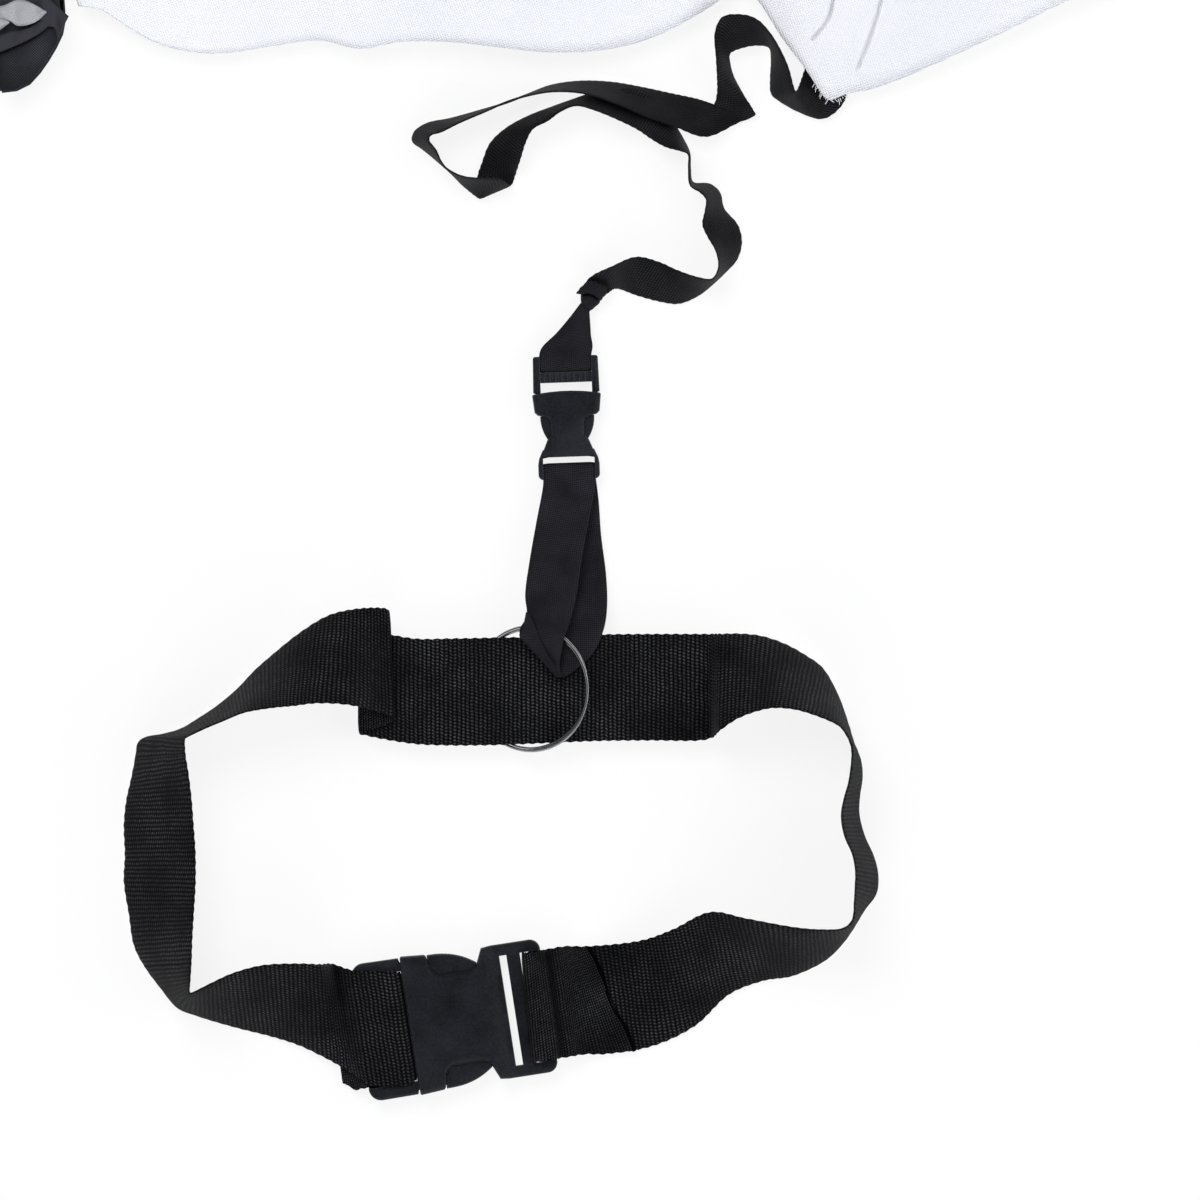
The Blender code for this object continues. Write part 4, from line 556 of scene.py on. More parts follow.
class Graph:
    """Short calls for building the nodes of a material or of the world."""

    def __init__(self, holder):
        holder.use_nodes = True
        self.holder = holder
        self.nodes, self.links = holder.node_tree.nodes, holder.node_tree.links

    def feed(self, node, **inputs):
        """Set or link a node's inputs. A name's underscores are spaces, and _7 is the input 7."""
        for name, value in inputs.items():
            socket = node.inputs[int(name[1:]) if name[0] == "_" else name.replace("_", " ")]
            if isinstance(value, Signal):
                self.links.new(value.socket, socket)
            else:
                socket.default_value = value

    def node(self, kind, output=0, settings=(), **inputs):
        """The chosen output of a new node, after its settings and inputs are made."""
        node = self.nodes.new(f"ShaderNode{kind}")
        for name, value in dict(settings).items():
            setattr(node, name, value)
        self.feed(node, **inputs)
        return Signal(self, node.outputs[output])

    def math(self, operation, one, two=0.0):
        return self.node("Math", 0, {"operation": operation}, _0=one, _1=two)

    def held(self, value, low, high=1.0):
        """The value, kept between two limits."""
        return self.math("MINIMUM", self.math("MAXIMUM", value, low), high)

    def cosine(self, value, pitch=1.0):
        return self.math("COSINE", value * (2 * math.pi / pitch))

    def parts(self, vector):
        """The three parts of a vector."""
        outputs = self.node("SeparateXYZ", _0=vector).socket.node.outputs
        return [Signal(self, output) for output in outputs]

    def split(self, kind):
        """The three parts of the texture coordinate of that kind."""
        return self.parts(self.node("TexCoord", kind))

    def noise(self, scale, detail=4.0):
        where = self.node("TexCoord", "Object")
        return self.node("TexNoise", "Fac", Scale=scale, Detail=detail, Vector=where)

    def ramp(self, value, *stops):
        """A colour ramp: each stop is a place and a colour, in order."""
        made = self.node("ValToRGB", _0=value)
        elements = made.socket.node.color_ramp.elements
        for at, _ in stops[1:-1]:
            elements.new(at)
        for element, (at, colour) in zip(elements, stops):
            element.position, element.color = at, (*colour, 1)
        return made

    def bump(self, height, distance, strength=1.0, **under):
        return self.node("Bump", Distance=distance, Strength=strength, Height=height, **under)

    def shade(self, samples):
        """How open the surface lies to what is near it."""
        return self.node("AmbientOcclusion", "AO", {"samples": samples}, Distance=SHADE_REACH)

    def with_painted_shade(self, value):
        """The value, darkened by painted shade in creases and under folds."""
        return value * self.held(self.shade(6) * 1.7 - 0.55, 0.04)


class Material(Graph):
    """The nodes of a material with one surface shader."""

    def __init__(self, name):
        super().__init__(bpy.data.materials.new(name))
        self.shader = self.nodes["Principled BSDF"]

    def finish(self, colour, roughness, **inputs):
        self.feed(self.shader, Base_Color=colour, Roughness=roughness, **inputs)
        return self.holder

    def cloth(self, colour, normal, roughness, specular, sheen, sheen_roughness=0.5):
        sheens = {"Sheen_Weight": sheen, "Sheen_Roughness": sheen_roughness}
        return self.finish(colour, roughness, Normal=normal, Specular_IOR_Level=specular, **sheens)


def woven(name, rib, bead, dark, light, relief):
    """Ribbed webbing: columns of slanted warp floats that lean in turns. The back face is finer."""
    g = Material(name)
    u, v, _ = g.split("UV")
    back = g.math("GREATER_THAN", v, BACK_FACE / 2)
    width, length = rib - back * (rib * 0.42), bead - back * (bead * 0.25)
    wobble = (g.noise(130.0, 2.0) - 0.5) * 0.5
    along = u / width + wobble
    index, part = g.math("FLOOR", along), g.math("FRACT", along)
    turn = g.math("MAXIMUM", g.math("MODULO", index, 2.0) * 2.0 - 1.0, back)
    lean = (part - 0.5) * 0.75 * turn
    float_height = g.cosine(v / length + index * 0.37 + lean + wobble) * 0.5 + 0.5
    height = g.math("SINE", part * math.pi) * (float_height * 0.7 + 0.3)
    wear, speck = g.noise(48.0, 3.0) * 1.7 - 0.2, g.noise(700.0, 1.0) * 1.6 + 0.1
    # Painted light and shade: float tops lighter, gaps and creases darker, over random wear and specks
    painted_light_and_tone = g.with_painted_shade(height**2.3 * (wear * speck))
    middle = tuple(0.65 * a + 0.35 * b for a, b in zip(dark, light))
    colour = g.ramp(painted_light_and_tone, (0.0, dark), (0.45, middle), (1.0, light))
    normal = g.bump(g.noise(2600.0, 2.0), 0.00006, 0.5, Normal=g.bump(height, relief))
    return g.cloth(colour, normal, 0.8, 0.10, 0.02)


def twill(name, pitch, dark, light, relief, slant):
    """Fine webbing with a twill line that slants by so many degrees."""
    g, angle = Material(name), math.radians(slant)
    u, v, _ = g.split("UV")
    line = g.cosine(u * math.cos(angle) + v * math.sin(angle), pitch)
    height = line * 0.3 + (g.cosine(v, pitch * 1.15) * 0.2 + 0.5)
    # Painted light and shade: raised twill lines lighter, hollows and creases darker, with random tone
    painted_light_and_tone = g.with_painted_shade(height**1.4 * (g.noise(70.0, 3.0) * 1.8 + 0.05))
    colour = g.ramp(painted_light_and_tone, (0.05, dark), (1.0, light))
    normal = g.bump(g.noise(3000.0, 2.0), 0.00004, 0.5, Normal=g.bump(height, relief))
    return g.cloth(colour, normal, 0.75, 0.12, 0.03)


def plain_weave(name, pitch, dark, light):
    """Woven cloth read from object space, for pieces without a strap's UV map."""
    g = Material(name)
    x, y, z = g.split("Object")
    height = g.cosine(x + z * 0.7, pitch) * g.cosine(y + z * 0.7, pitch) * 0.5 + 0.5
    # Painted light and shade: raised yarns lighter, hollows and creases darker, with random tone
    painted_light_and_tone = g.with_painted_shade(height * (g.noise(60.0, 3.0) * 1.5 + 0.1))
    colour = g.ramp(painted_light_and_tone, (0.05, dark), (1.0, light))
    return g.cloth(colour, g.bump(height, 0.0001), 0.75, 0.12, 0.02)


def moulded(name, dark, light, edge_highlight, grain=900.0):
    """Satin plastic with a spark-eroded grain, faint rubbing and a painted highlight along its edges."""
    g = Material(name)
    rub = g.noise(55.0) * 1.7 - 0.45
    colour = g.ramp(g.noise(grain, 2.0) * 0.6 + rub * 0.6, (0.2, dark), (0.85, light))
    # Convex edges are mixed towards a paler colour: a painted highlight
    rounded = g.node("Bevel", 0, {"samples": 4}, Radius=0.0009)
    true = g.node("NewGeometry", "Normal")
    facing = g.node("VectorMath", "Value", {"operation": "DOT_PRODUCT"}, _0=rounded, _1=true)
    edge = g.math("MINIMUM", (1.0 - facing) * 4.0, 1.0)
    mixed = g.node("Mix", 2, {"data_type": "RGBA"}, _0=edge, _6=colour, _7=(*edge_highlight, 1))
    normal = g.bump(g.noise(grain, 3.0), 0.00014, 0.8)
    return g.finish(mixed, g.noise(60.0) * 0.20 + 0.36, Normal=normal, Specular_IOR_Level=0.22)


def plated(name):
    """Bright plating, its colour painted with cloudy dark reflections, and a faint haze."""
    g = Material(name)
    colour = g.ramp(g.noise(45.0, 2.0), (0.3, (0.34, 0.345, 0.37)), (0.7, (0.78, 0.78, 0.80)))
    normal = g.bump(g.noise(90.0, 1.0), 0.00002, 0.2)
    return g.finish(colour, g.noise(60.0, 2.0) * 0.06 + 0.12, Normal=normal, Metallic=1.0)


def net(name, shade=1.0, pitch=0.0011):
    """White knitted net: fine yarns both ways with small holes, read from the floor plan."""
    g = Material(name)
    x, y, _ = g.split("Object")
    yarn = g.math("MAXIMUM", g.cosine(x + y * 0.35, pitch), g.cosine(y - x * 0.35, pitch))
    colour = g.ramp(
        g.noise(14.0, 3.0) * 0.5 + (yarn * 0.5 + 0.5) * 0.15,
        (0.2, (0.80 * shade, 0.81 * shade, 0.875 * shade)),
        (0.7, (0.92 * shade, 0.925 * shade, 0.965 * shade)),
    )
    g.feed(g.shader, Alpha=g.math("GREATER_THAN", yarn, -0.35) * 0.08 + 0.91)
    return g.cloth(colour, g.bump(yarn, 0.00014, 0.7), 0.75, 0.15, 0.05, 0.4)


def nylon(name, pitch=0.0052):
    """Thin coated nylon with a ripstop grid."""
    g = Material(name)
    lines = [
        g.math("GREATER_THAN", g.math("ABSOLUTE", g.math("FRACT", value / pitch) - 0.5), 0.44)
        for value in g.split("Object")[:2]
    ]
    rip, crease_and_painted_sheen = g.math("MAXIMUM", *lines), g.noise(26.0, 5.0)
    # The colour follows the crease noise: painted sheen on the raised creases, painted shade in their
    # hollows
    colour = g.ramp(
        rip * 0.08 + crease_and_painted_sheen * 0.9, (0.15, (0.010, 0.011, 0.015)), (0.9, (0.060, 0.063, 0.076))
    )
    normal = g.bump(rip, 0.00005, 0.5, Normal=g.bump(crease_and_painted_sheen, 0.0016, 0.5))
    return g.cloth(colour, normal, crease_and_painted_sheen * 0.25 + 0.34, 0.4, 0.03)


def thread(name, colour):
    """Twisted thread, lighter and darker along its length."""
    g = Material(name)
    tone = g.ramp(g.noise(900.0, 3.0), (0.3, tuple(c * 0.75 for c in colour)), (0.7, colour))
    normal = g.bump(g.noise(2400.0, 2.0), 0.00005, 0.5)
    return g.finish(tone, 0.8, Normal=normal, Specular_IOR_Level=0.05)


belt_cloth = woven(
    "belt_weave", 0.0019, 0.0015, (0.0010, 0.0010, 0.0014), (0.090, 0.090, 0.104), 0.00032
)
fine_cloth = twill("leader_weave", 0.0011, (0.0018, 0.0018, 0.0024), (0.024, 0.024, 0.029), 0.00010, 28)
soft_cloth = twill("connector_weave", 0.0008, (0.0045, 0.0045, 0.0060), (0.027, 0.027, 0.034), 0.00008, 8)
# Near black: the flap's melted cut end, darkened further as painted shadow under the cut
seared_end_and_shadow_cloth = thread("seared_thread", (0.0008, 0.0008, 0.0010))
tape_cloth = plain_weave("tape_weave", 0.0012, (0.006, 0.006, 0.008), (0.052, 0.054, 0.064))
knot_cloth = plain_weave("knot_weave", 0.0010, (0.0018, 0.0018, 0.0024), (0.028, 0.028, 0.034))
# The last colour is the painted highlight along the plastic's edges
black_plastic = moulded(
    "moulded_plastic", (0.0028, 0.0031, 0.0044), (0.0185, 0.0198, 0.0250), (0.055, 0.058, 0.068)
)


# ---- Meshes ----

# The columns across a strap's width
COLUMNS = np.array((0.0, 0.025, 0.12, 0.28, 0.44, 0.60, 0.76, 0.90, 0.975, 1.0))


def closed_mesh(name, verts, faces):
    """A smooth mesh whose faces all look outward."""
    mesh = bpy.data.meshes.new(name)
    mesh.from_pydata([tuple(point) for point in verts], [], faces)
    shape = bmesh.new()
    shape.from_mesh(mesh)
    bmesh.ops.recalc_face_normals(shape, faces=shape.faces)
    shape.to_mesh(mesh)
    shape.free()
    mesh.shade_smooth()
    return mesh


def slab_mesh(name, upper, lower):
    """A closed mesh between two grids of points."""
    count, width = upper.shape[:2]
    faces, total = [], count * width
    for i in range(count - 1):
        for j in range(width - 1):
            quad = [i * width + j, i * width + j + 1, (i + 1) * width + j + 1, (i + 1) * width + j]
            faces += [quad[::-1], [k + total for k in quad]]
    index = np.arange(total).reshape(count, width)
    rim = [*index[0], *index[1:, -1], *index[-1, -2::-1], *index[-2:0:-1, 0]]
    faces += [[one, two, two + total, one + total] for one, two in zip(rim, rim[1:] + rim[:1])]
    return closed_mesh(name, np.concatenate([upper.reshape(-1, 3), lower.reshape(-1, 3)]), faces)


def ring_mesh(name, *stacks):
    """A mesh of closed solids, each through rings of equal counts."""
    verts, faces = [], []
    for rings in stacks:
        count, first = len(rings[0]), len(verts)
        verts += [point for ring in rings for point in ring]
        for start in range(first, len(verts) - count, count):
            for k in range(count):
                n = (k + 1) % count
                faces.append([start + k, start + n, start + count + n, start + count + k])
        faces += [range(first + count - 1, first - 1, -1), range(len(verts) - count, len(verts))]
    return closed_mesh(name, verts, faces)


def strap_mesh(name, rows, step, thickness, ribs=None, scallop=None):
    """A closed strap with a rounded selvage, drawn in at the edge between ribs, and its length."""
    middle = (rows[:, :3] + rows[:, 3:]) / 2
    run = lengths(middle)
    wanted = np.linspace(0, run[-1], max(int(round(run[-1] / step)), 2) + 1)
    rows, run = read(wanted, run, rows), wanted
    a, across = rows[:, None, :3], rows[:, 3:] - rows[:, :3]
    normal = np.cross(np.gradient((rows[:, :3] + rows[:, 3:]) / 2, axis=0), across)
    normal /= np.linalg.norm(normal, axis=1)[:, None]
    width, draw, relief = np.linalg.norm(across, axis=1), 0, 0
    if scallop:
        depth, pitch = scallop
        draw = (depth * (1 - np.cos(2 * np.pi * run / pitch)) / 2 / width)[:, None]
    if ribs:
        relief = (ribs[0] * np.cos(2 * np.pi * run / ribs[1] + math.pi))[:, None]
    edge = np.minimum(COLUMNS, 1 - COLUMNS)
    full = np.where(edge > 0.1, 1, 0.30 + 0.70 * np.sqrt(edge / 0.1))
    half = (thickness / 2 + relief * (edge > 0.02)) * full * np.ones((len(rows), 1))
    share = draw + COLUMNS * (1 - 2 * draw) * np.ones((len(rows), 1))
    flat, off = a + across[:, None] * share[:, :, None], normal[:, None] * half[:, :, None]
    mesh = slab_mesh(name, flat + off, flat - off)
    uv = np.stack([run[:, None] * np.ones(len(COLUMNS)), width[:, None] * COLUMNS], axis=2)
    uvs = np.concatenate([uv, uv + (0, BACK_FACE)]).reshape(-1, 2)
    layer = mesh.uv_layers.new(name="UVMap")
    for loop in mesh.loops:
        layer.data[loop.index].uv = uvs[loop.vertex_index]
    return mesh, float(run[-1])


def sheet_mesh(name, rows, thickness):
    """A closed thin sheet round a grid of points."""
    grid = np.array(rows)
    normal = np.cross(np.gradient(grid, axis=1), np.gradient(grid, axis=0))
    normal *= thickness / 2 / np.maximum(np.linalg.norm(normal, axis=2), 1e-12)[:, :, None]
    return slab_mesh(name, grid + normal, grid - normal)


def tube_mesh(name, points, radius, sides):
    """A closed round tube along a line of points."""
    points, rings = [Vector(point) for point in points], []
    for i, point in enumerate(points):
        way = (points[min(i + 1, len(points) - 1)] - points[max(i - 1, 0)]).normalized()
        side = way.cross(Vector((0, 0, 1)) if abs(way.z) < 0.95 else Vector((1, 0, 0))).normalized()
        up = side.cross(way)
        turns = np.linspace(0, 2 * math.pi, sides, endpoint=False)
        rings.append([point + radius * (math.cos(t) * side + math.sin(t) * up) for t in turns])
    return ring_mesh(name, rings)


def linked(name, data):
    """A new object in the scene."""
    obj = bpy.data.objects.new(name, data)
    bpy.context.scene.collection.objects.link(obj)
    return obj


def add(mesh, material, body, *nodes, slot=None):
    """A new piece that rides on a body and may replace nodes of the CAD."""
    obj = linked(mesh.name, mesh)
    mesh.materials.append(material)
    if body:
        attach(obj, body)
    if nodes:
        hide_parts(*nodes)
    return obj


# ---- Straps ----


def build_belt():
    """The belt in three pieces. The side piece lies between the two halves of the buckle."""
    back = shell_loop_rows(BELT_BUCKLE) + edge_rows(BELT_RIGHT, BELT) + pleat_rows()
    back += edge_rows(BELT_TOP_LEFT, BELT)
    side = edge_rows(BELT_SIDE, BELT)
    front = edge_rows(BELT_FRONT, BELT) + frame_loop_rows(BELT_BUCKLE)
    front += edge_rows(BELT_TAIL, BELT, FLAT)
    rows = spline(back + side + front, CURVE_STEPS)
    cuts = (0, len(back) * CURVE_STEPS, (len(back) + len(side)) * CURVE_STEPS, len(rows) - 1)
    made = []
    for part, start, end in zip(("back", "side", "front"), cuts, cuts[1:]):
        node, piece = f"belt_webbing_{part}", rows[start : end + 1]
        sizes = (BELT_STEP, BELT[1] - 0.0002, BELT_RIBS, BELT_SCALLOP)
        mesh, _ = strap_mesh(f"{node}_woven", piece, *sizes)
        made.append(add(mesh, belt_cloth, None, node, slot="black_webbing"))
    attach(made[0], "belt")
    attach(made[2], "belt_front")
    start, end = ([(row[i] + row[i + 3]) / 2 for i in range(3)] for row in (side[0], side[-1]))
    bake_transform(made[1])

    # A near-black tube along the flap's cut end: a melted end, its darkness partly painted shadow under
    # the cut
    one, two = Vector(rows[0][:3]), Vector(rows[0][3:])
    seared = []
    for share in np.linspace(0, 1, 61):
        bow = 0.0002 + 0.0012 * math.sin(share * 9 + 0.6) * math.sin(share * math.pi)
        seared.append(one.lerp(two, share) + Vector((bow, 0, 0)))
    add(tube_mesh("belt_flap_seared_end", seared, 0.0008, 8), seared_end_and_shadow_cloth, "belt")


def build_straps():
    """The connector with its turned edge, the tab and the leader."""
    thin, turned = CONNECTOR[1] - 0.0001, edge_rows(CONNECTOR_FOLD, TURNED_EDGE, FLAT)
    for name, rows, thickness, body, *nodes in (
        ("connector_strap_woven", connector_rows(), thin, "connector", "connector_strap"),
        ("connector_turned_edge", turned, 0.0009, "connector"),
        ("leader_tab_woven", tab_rows(), thin, "sail", "leader_tab"),
    ):
        mesh, _ = strap_mesh(name, spline(rows, CURVE_STEPS), CONNECTOR_STEP, thickness)
        add(mesh, soft_cloth, body, *nodes, slot="black_webbing" if nodes else None)
    table = edge_rows(LEADER_RUN, LEADER)
    table[0][2] = table[0][5] = LEVELS["mesh_front"] - 0.0013
    rows, sizes = spline(table, CURVE_STEPS), (LEADER_STEP, LEADER[1], None, LEADER_SCALLOP)
    mesh, length = strap_mesh("leader_strap_woven", rows, *sizes)
    leader = add(mesh, fine_cloth, "sail", "leader_strap", slot="black_webbing")


def build_ring():
    """The split ring's two turns of wire, tilted where the connector lifts it."""
    radius, count = (RING_DIAMETER - RING_WIRE) / 2, round(RING_TURNS * 110)
    tilt = Matrix.Rotation(-RING_TILT, 3, "Y")
    middle = place(*RING_PLACE, BELT_LIFT + 0.0005)
    points = []
    for i in range(count + 1):
        turns = RING_TURNS * i / count
        angle, on = turns * 2 * math.pi + RING_START, turns - RING_TURNS / 2
        flat = Vector((radius * math.cos(angle), radius * math.sin(angle) - RING_SPREAD * on, 0))
        points.append(middle + tilt @ flat + Vector((0, 0, RING_PITCH * on)))
    mesh = tube_mesh("split_ring_wire", points, RING_WIRE / 2, 16)
    add(mesh, plated("nickel_plate"), "ring", "split_ring", slot="nickel_wire")


# ---- Cloth ----

APEX = np.array(place(*APEX_PLACE))[:2]
# The waves of the upper cloth: a share of the usual pitch, and the way that they run
WAVES = [(1, math.radians(80)), (0.72, math.radians(35)), (1.32, math.radians(150))]


def line_at(table, count):
    """Even points on the curve through a table's places."""
    curve = spline([place(*row) for row in table], LINE_STEPS)
    run = lengths(curve)
    return read(np.linspace(0, run[-1], count + 1), run, curve)


def wave(points):
    """How far the folds lift the upper cloth at each place. It lies calm at the apex."""
    off = points[:, :2] - APEX
    reach = np.minimum(np.linalg.norm(off, axis=1) / 0.12, 1)
    total = np.zeros(len(points))
    for share, turn in WAVES:
        away = off[:, 0] * math.cos(turn) + off[:, 1] * math.sin(turn)
        total += (1 + np.sin(2 * np.pi * away / (share * WAVE_PITCH))) / len(WAVES)
    return WAVE_HEIGHT * total * reach * reach


def rucks(points):
    """Finer folds on top of the waves, which fan out from the apex and die away there."""
    x, y = (points[:, :2] - APEX).T
    reach, angle = np.hypot(x, y), np.arctan2(y, x)
    fan = 0.5 + 0.5 * np.sin(angle * 17 + 2.2 * np.sin(reach * 19) + 1.3 * np.sin(angle * 5))
    cross = 0.5 + 0.5 * np.sin(x * 74 + 2.5 * np.sin(y * 31)) * np.sin(y * 57 + 1.7)
    return (0.0022 * fan**3 + 0.0012 * cross**2) * np.clip((reach - 0.02) / 0.25, 0, 1)


def lifted(points, height, folds=True):
    """The points at a layer's height, on its folds if it has any."""
    made = np.array(points)
    made[:, 2] = height + (wave(made) + rucks(made) if folds else 0)
    return made


def between(one, two, share):
    return one + (two - one) * share


def layer_rows(one, two, shares, height, folds=True):
    """Rows of a layer between two lines."""
    return [lifted(between(one, two, share), height, folds) for share in shares]


def fold_rows(line, fold, top, low, angles):
    """The half turn that joins an upper layer's last row to a lower layer's."""
    outward = (fold - line) / np.linalg.norm(fold - line, axis=1)[:, None]
    radius, rows = (top[:, 2] - low[:, 2])[:, None] / 2, []
    for angle in angles:
        row = (top + low) / 2 + outward * radius * math.sin(angle)
        row[:, 2] += radius[:, 0] * math.cos(angle)
        rows.append(row)
    return rows


def raised(layer, over):
    """The step from one layer's height to another's."""
    return np.array((0, 0, LEVELS[over] - LEVELS[layer]))


def net_panel(name, rows, white):
    """A panel of net in place of the CAD's node of that name."""
    panel = add(sheet_mesh(f"{name}_net", rows, NET_THICK), white, "sail", name, slot="white_mesh")


def build_cloth():
    """The folded canopy with its tapes, and the four net panels."""
    hem, fold = line_at(FRONT_HEM, COLS), line_at(FOLD, COLS)
    depth = np.linalg.norm(fold - hem, axis=1).mean()
    shares = [0, *np.linspace(HEM_WIDTH / depth, 1, ROWS)]
    front = layer_rows(hem, fold, shares, LEVELS["canopy_front"])
    back = layer_rows(hem, fold, shares, LEVELS["canopy_back"], False)
    roll = fold_rows(hem, fold, front[-1], back[-1], [math.pi * step / 8 for step in range(1, 8)])
    white, black = net("white_net"), nylon("black_nylon")
    mesh = sheet_mesh("canopy_cloth", front + roll + back[::-1], CANOPY_THICK)
    canopy = add(mesh, black, "sail", "canopy", slot="black_nylon")

    patch = COLS // 26
    inset, up = 3 * patch, raised("canopy_front", "hem_front")
    edge_tape = [row + up for row in (front[0], between(front[0], front[1], 0.5), front[1])]
    tapes = {
        "hem_front": [row[inset:-inset] for row in edge_tape],
        "hem_back": [row[inset:-inset] + raised("canopy_back", "hem_back") for row in back[:2]],
        "corner_patch_left": [row[: patch + 1] for row in edge_tape],
        "corner_patch_right": [row[-patch - 1 :] for row in edge_tape],
    }
    for edge, inner, name in ((0, 1, "hem_left"), (-1, -2, "hem_right")):
        rows = np.array(front[1 + (ROWS - 1) // 9 :])
        line, near = rows[:, edge], rows[:, inner]
        span = np.linalg.norm(near - line, axis=1)[:, None]
        tapes[name] = [line + (near - line) * share * HEM_WIDTH / span + up for share in (0, 0.5, 1)]
    for name, tape in tapes.items():
        mesh = sheet_mesh(f"{name}_tape", tape, TAPE_THICK)
        add(mesh, tape_cloth, "sail", name, slot="black_webbing")

    edge = line_at(MESH_EDGE, 2 * COLS)
    places = np.linspace(2 * patch, COLS - patch, 2 * COLS + 1)
    index, down = np.arange(COLS + 1), raised("canopy_front", "mesh_front")
    hem, under = (read(places, index, row) + down for row in front[:2])
    rows = layer_rows(edge, hem, np.linspace(0, 1, 30, endpoint=False), LEVELS["mesh_front"])
    net_panel("mesh_panel_front", rows + [hem, under], white)
    over = raised("canopy_back", "mesh_over_hem")
    hem, under = (read(places[::2], index, row) + over for row in back[:2])
    shares = (0.12, 0.25, 0.35, 0.48, 0.6, 0.72, 0.85)
    rows = layer_rows(edge[::2], hem, shares, LEVELS["mesh_back"], False)
    net_panel("mesh_panel_back", rows + [hem, under], white)

    for name, side_table, fold_table in (
        ("mesh_panel_left", LEFT_SIDE, LEFT_FOLD),
        ("mesh_panel_right", RIGHT_SIDE, RIGHT_FOLD),
    ):
        near, fold = line_at(side_table, SIDE_COLS), line_at(fold_table, SIDE_COLS)
        high, low = (
            layer_rows(near, fold, np.linspace(0, 1, 18), LEVELS[level], False)
            for level in ("side_high", "side_low")
        )
        turns = fold_rows(near, fold, high[-1], low[-1], [math.pi * step / 4 for step in (1, 2, 3)])
        net_panel(name, high + turns + low[::-1], white)


# ---- Small cloth details ----


def build_details():
    """Folds at the canopy's corner, overlocked seams on the net and its frayed apex."""
    # The corner's net is a darker copy of the white net: painted shade in the fold
    shaded, black = net("shaded_net", 0.46), bpy.data.materials["black_nylon"]
    for label, pieces, cloth, rise in (
        ("net", CORNER_NET, shaded, 0.0050),
        ("fold", CORNER_FOLD, black, 0.0028),
    ):
        for k, (top, low) in enumerate(pieces):
            level = LEVELS["hem_front"] + rise
            rows = layer_rows(line_at(top, 24), line_at(low, 24), np.linspace(0, 1, 9), level)
            for i, row in enumerate(rows):
                row[:, 2] += 0.0011 * math.sin(i * math.pi / 8) * (1 + np.sin(row[:, 0] * 700 + k))
            add(sheet_mesh(f"canopy_corner_{label}_{k}", rows, NET_THICK), cloth, "sail")

    white = thread("overlock_thread", (0.90, 0.905, 0.94))
    for k, table in enumerate(SEAMS):
        line = lifted(line_at(table, 150), LEVELS["mesh_front"] + 0.0008)
        way = np.gradient(line[:, :2], axis=0)
        way /= np.linalg.norm(way, axis=1)[:, None]
        swing = 0.0008 * np.where(np.arange(len(line)) % 2, 1, -1)[:, None]
        line[:, :2] += np.stack([-way[:, 1], way[:, 0]], axis=1) * swing
        add(tube_mesh(f"net_seam_{k}", line, THREAD_RADIUS, 6), white, "sail")
    frays = line_at(FRAYS, 16)
    for k, point in enumerate(frays):
        angle = math.radians(-125 + 75 * k / (len(frays) - 1) + 30 * math.sin(k * 2.3))
        reach, tip = 0.0017 + 0.0010 * math.sin(k * 1.7), []
        for share in np.linspace(0, 1, 7):
            bend = angle + share * 0.9 * math.sin(k * 3.1)
            right, up = math.cos(bend) * reach * share, math.sin(bend) * reach * share
            height = LEVELS["mesh_front"] + 0.0004 - 0.0016 * share
            tip.append((point[0] + right, point[1] + up, height))
        add(tube_mesh(f"net_fray_{k:02d}", tip, THREAD_RADIUS, 6), white, "sail")


# ---- Knot ----


def closed_line(table, steps):
    """Even points on each side of a closed outline."""
    sides = zip(table, table[1:] + table[:1])
    return [Vector(a).lerp(Vector(b), step / steps) for a, b in sides for step in range(steps)]


def pillow_rings(table, low, high):
    """Rings of a puffed piece of cloth over an outline on the plan."""
    outline = closed_line(table, 6)
    middle, rings = sum(outline, Vector((0, 0))) / len(outline), []
    for angle in np.linspace(-1.35, 1.35, 15):
        height, ring = (low + high) / 2 + (high - low) / 2 * math.sin(angle), []
        for k, point in enumerate(outline):
            keep = math.cos(angle) ** 0.45 * (1 - 0.02 * math.sin(5 * k + 3 * angle))
            ring.append(place(*(middle + (point - middle) * keep), height))
        rings.append(ring)
    return rings


def build_knot():
    """The half hitch: a band folded over to the left, above the pinched strap to the tab."""
    band = pillow_rings(KNOT_BAND, 0.0062, 0.0098)
    pinch = pillow_rings(KNOT_PINCH, 0.0010, 0.0074)
    mesh = ring_mesh("leader_knot_wraps", band, pinch)
    add(mesh, knot_cloth, "sail", "leader_knot", slot="black_webbing")


# ---- Buckles ----


def section(along, half, half_height, bulge=0.0):
    """A rounded rectangle across X. Its middle may bulge back along X."""
    radius = CORNER_ROUND * half_height
    outline = []
    for quarter, (side, up) in enumerate(((1, 1), (-1, 1), (-1, -1), (1, -1))):
        for step in range(CORNER_STEPS):
            angle = (quarter + step / (CORNER_STEPS - 1)) * math.pi / 2
            y = side * (half - radius) + radius * math.cos(angle)
            outline.append((y, up * (half_height - radius) + radius * math.sin(angle)))
        if side == up:
            outline += [(side * (half - radius) * share, up * half_height) for share in FLAT_POINTS]
    return [(along - bulge * (1 - (y / half) ** 2), y, z) for y, z in outline]


def corner_points(start, end, half, radius):
    """Places along X and half widths that round a corner in plan."""
    return [
        (start + (end - start) * math.sin(angle), half - radius * (1 - math.cos(angle)))
        for angle in np.linspace(0, math.pi * 0.45, 8)
    ]


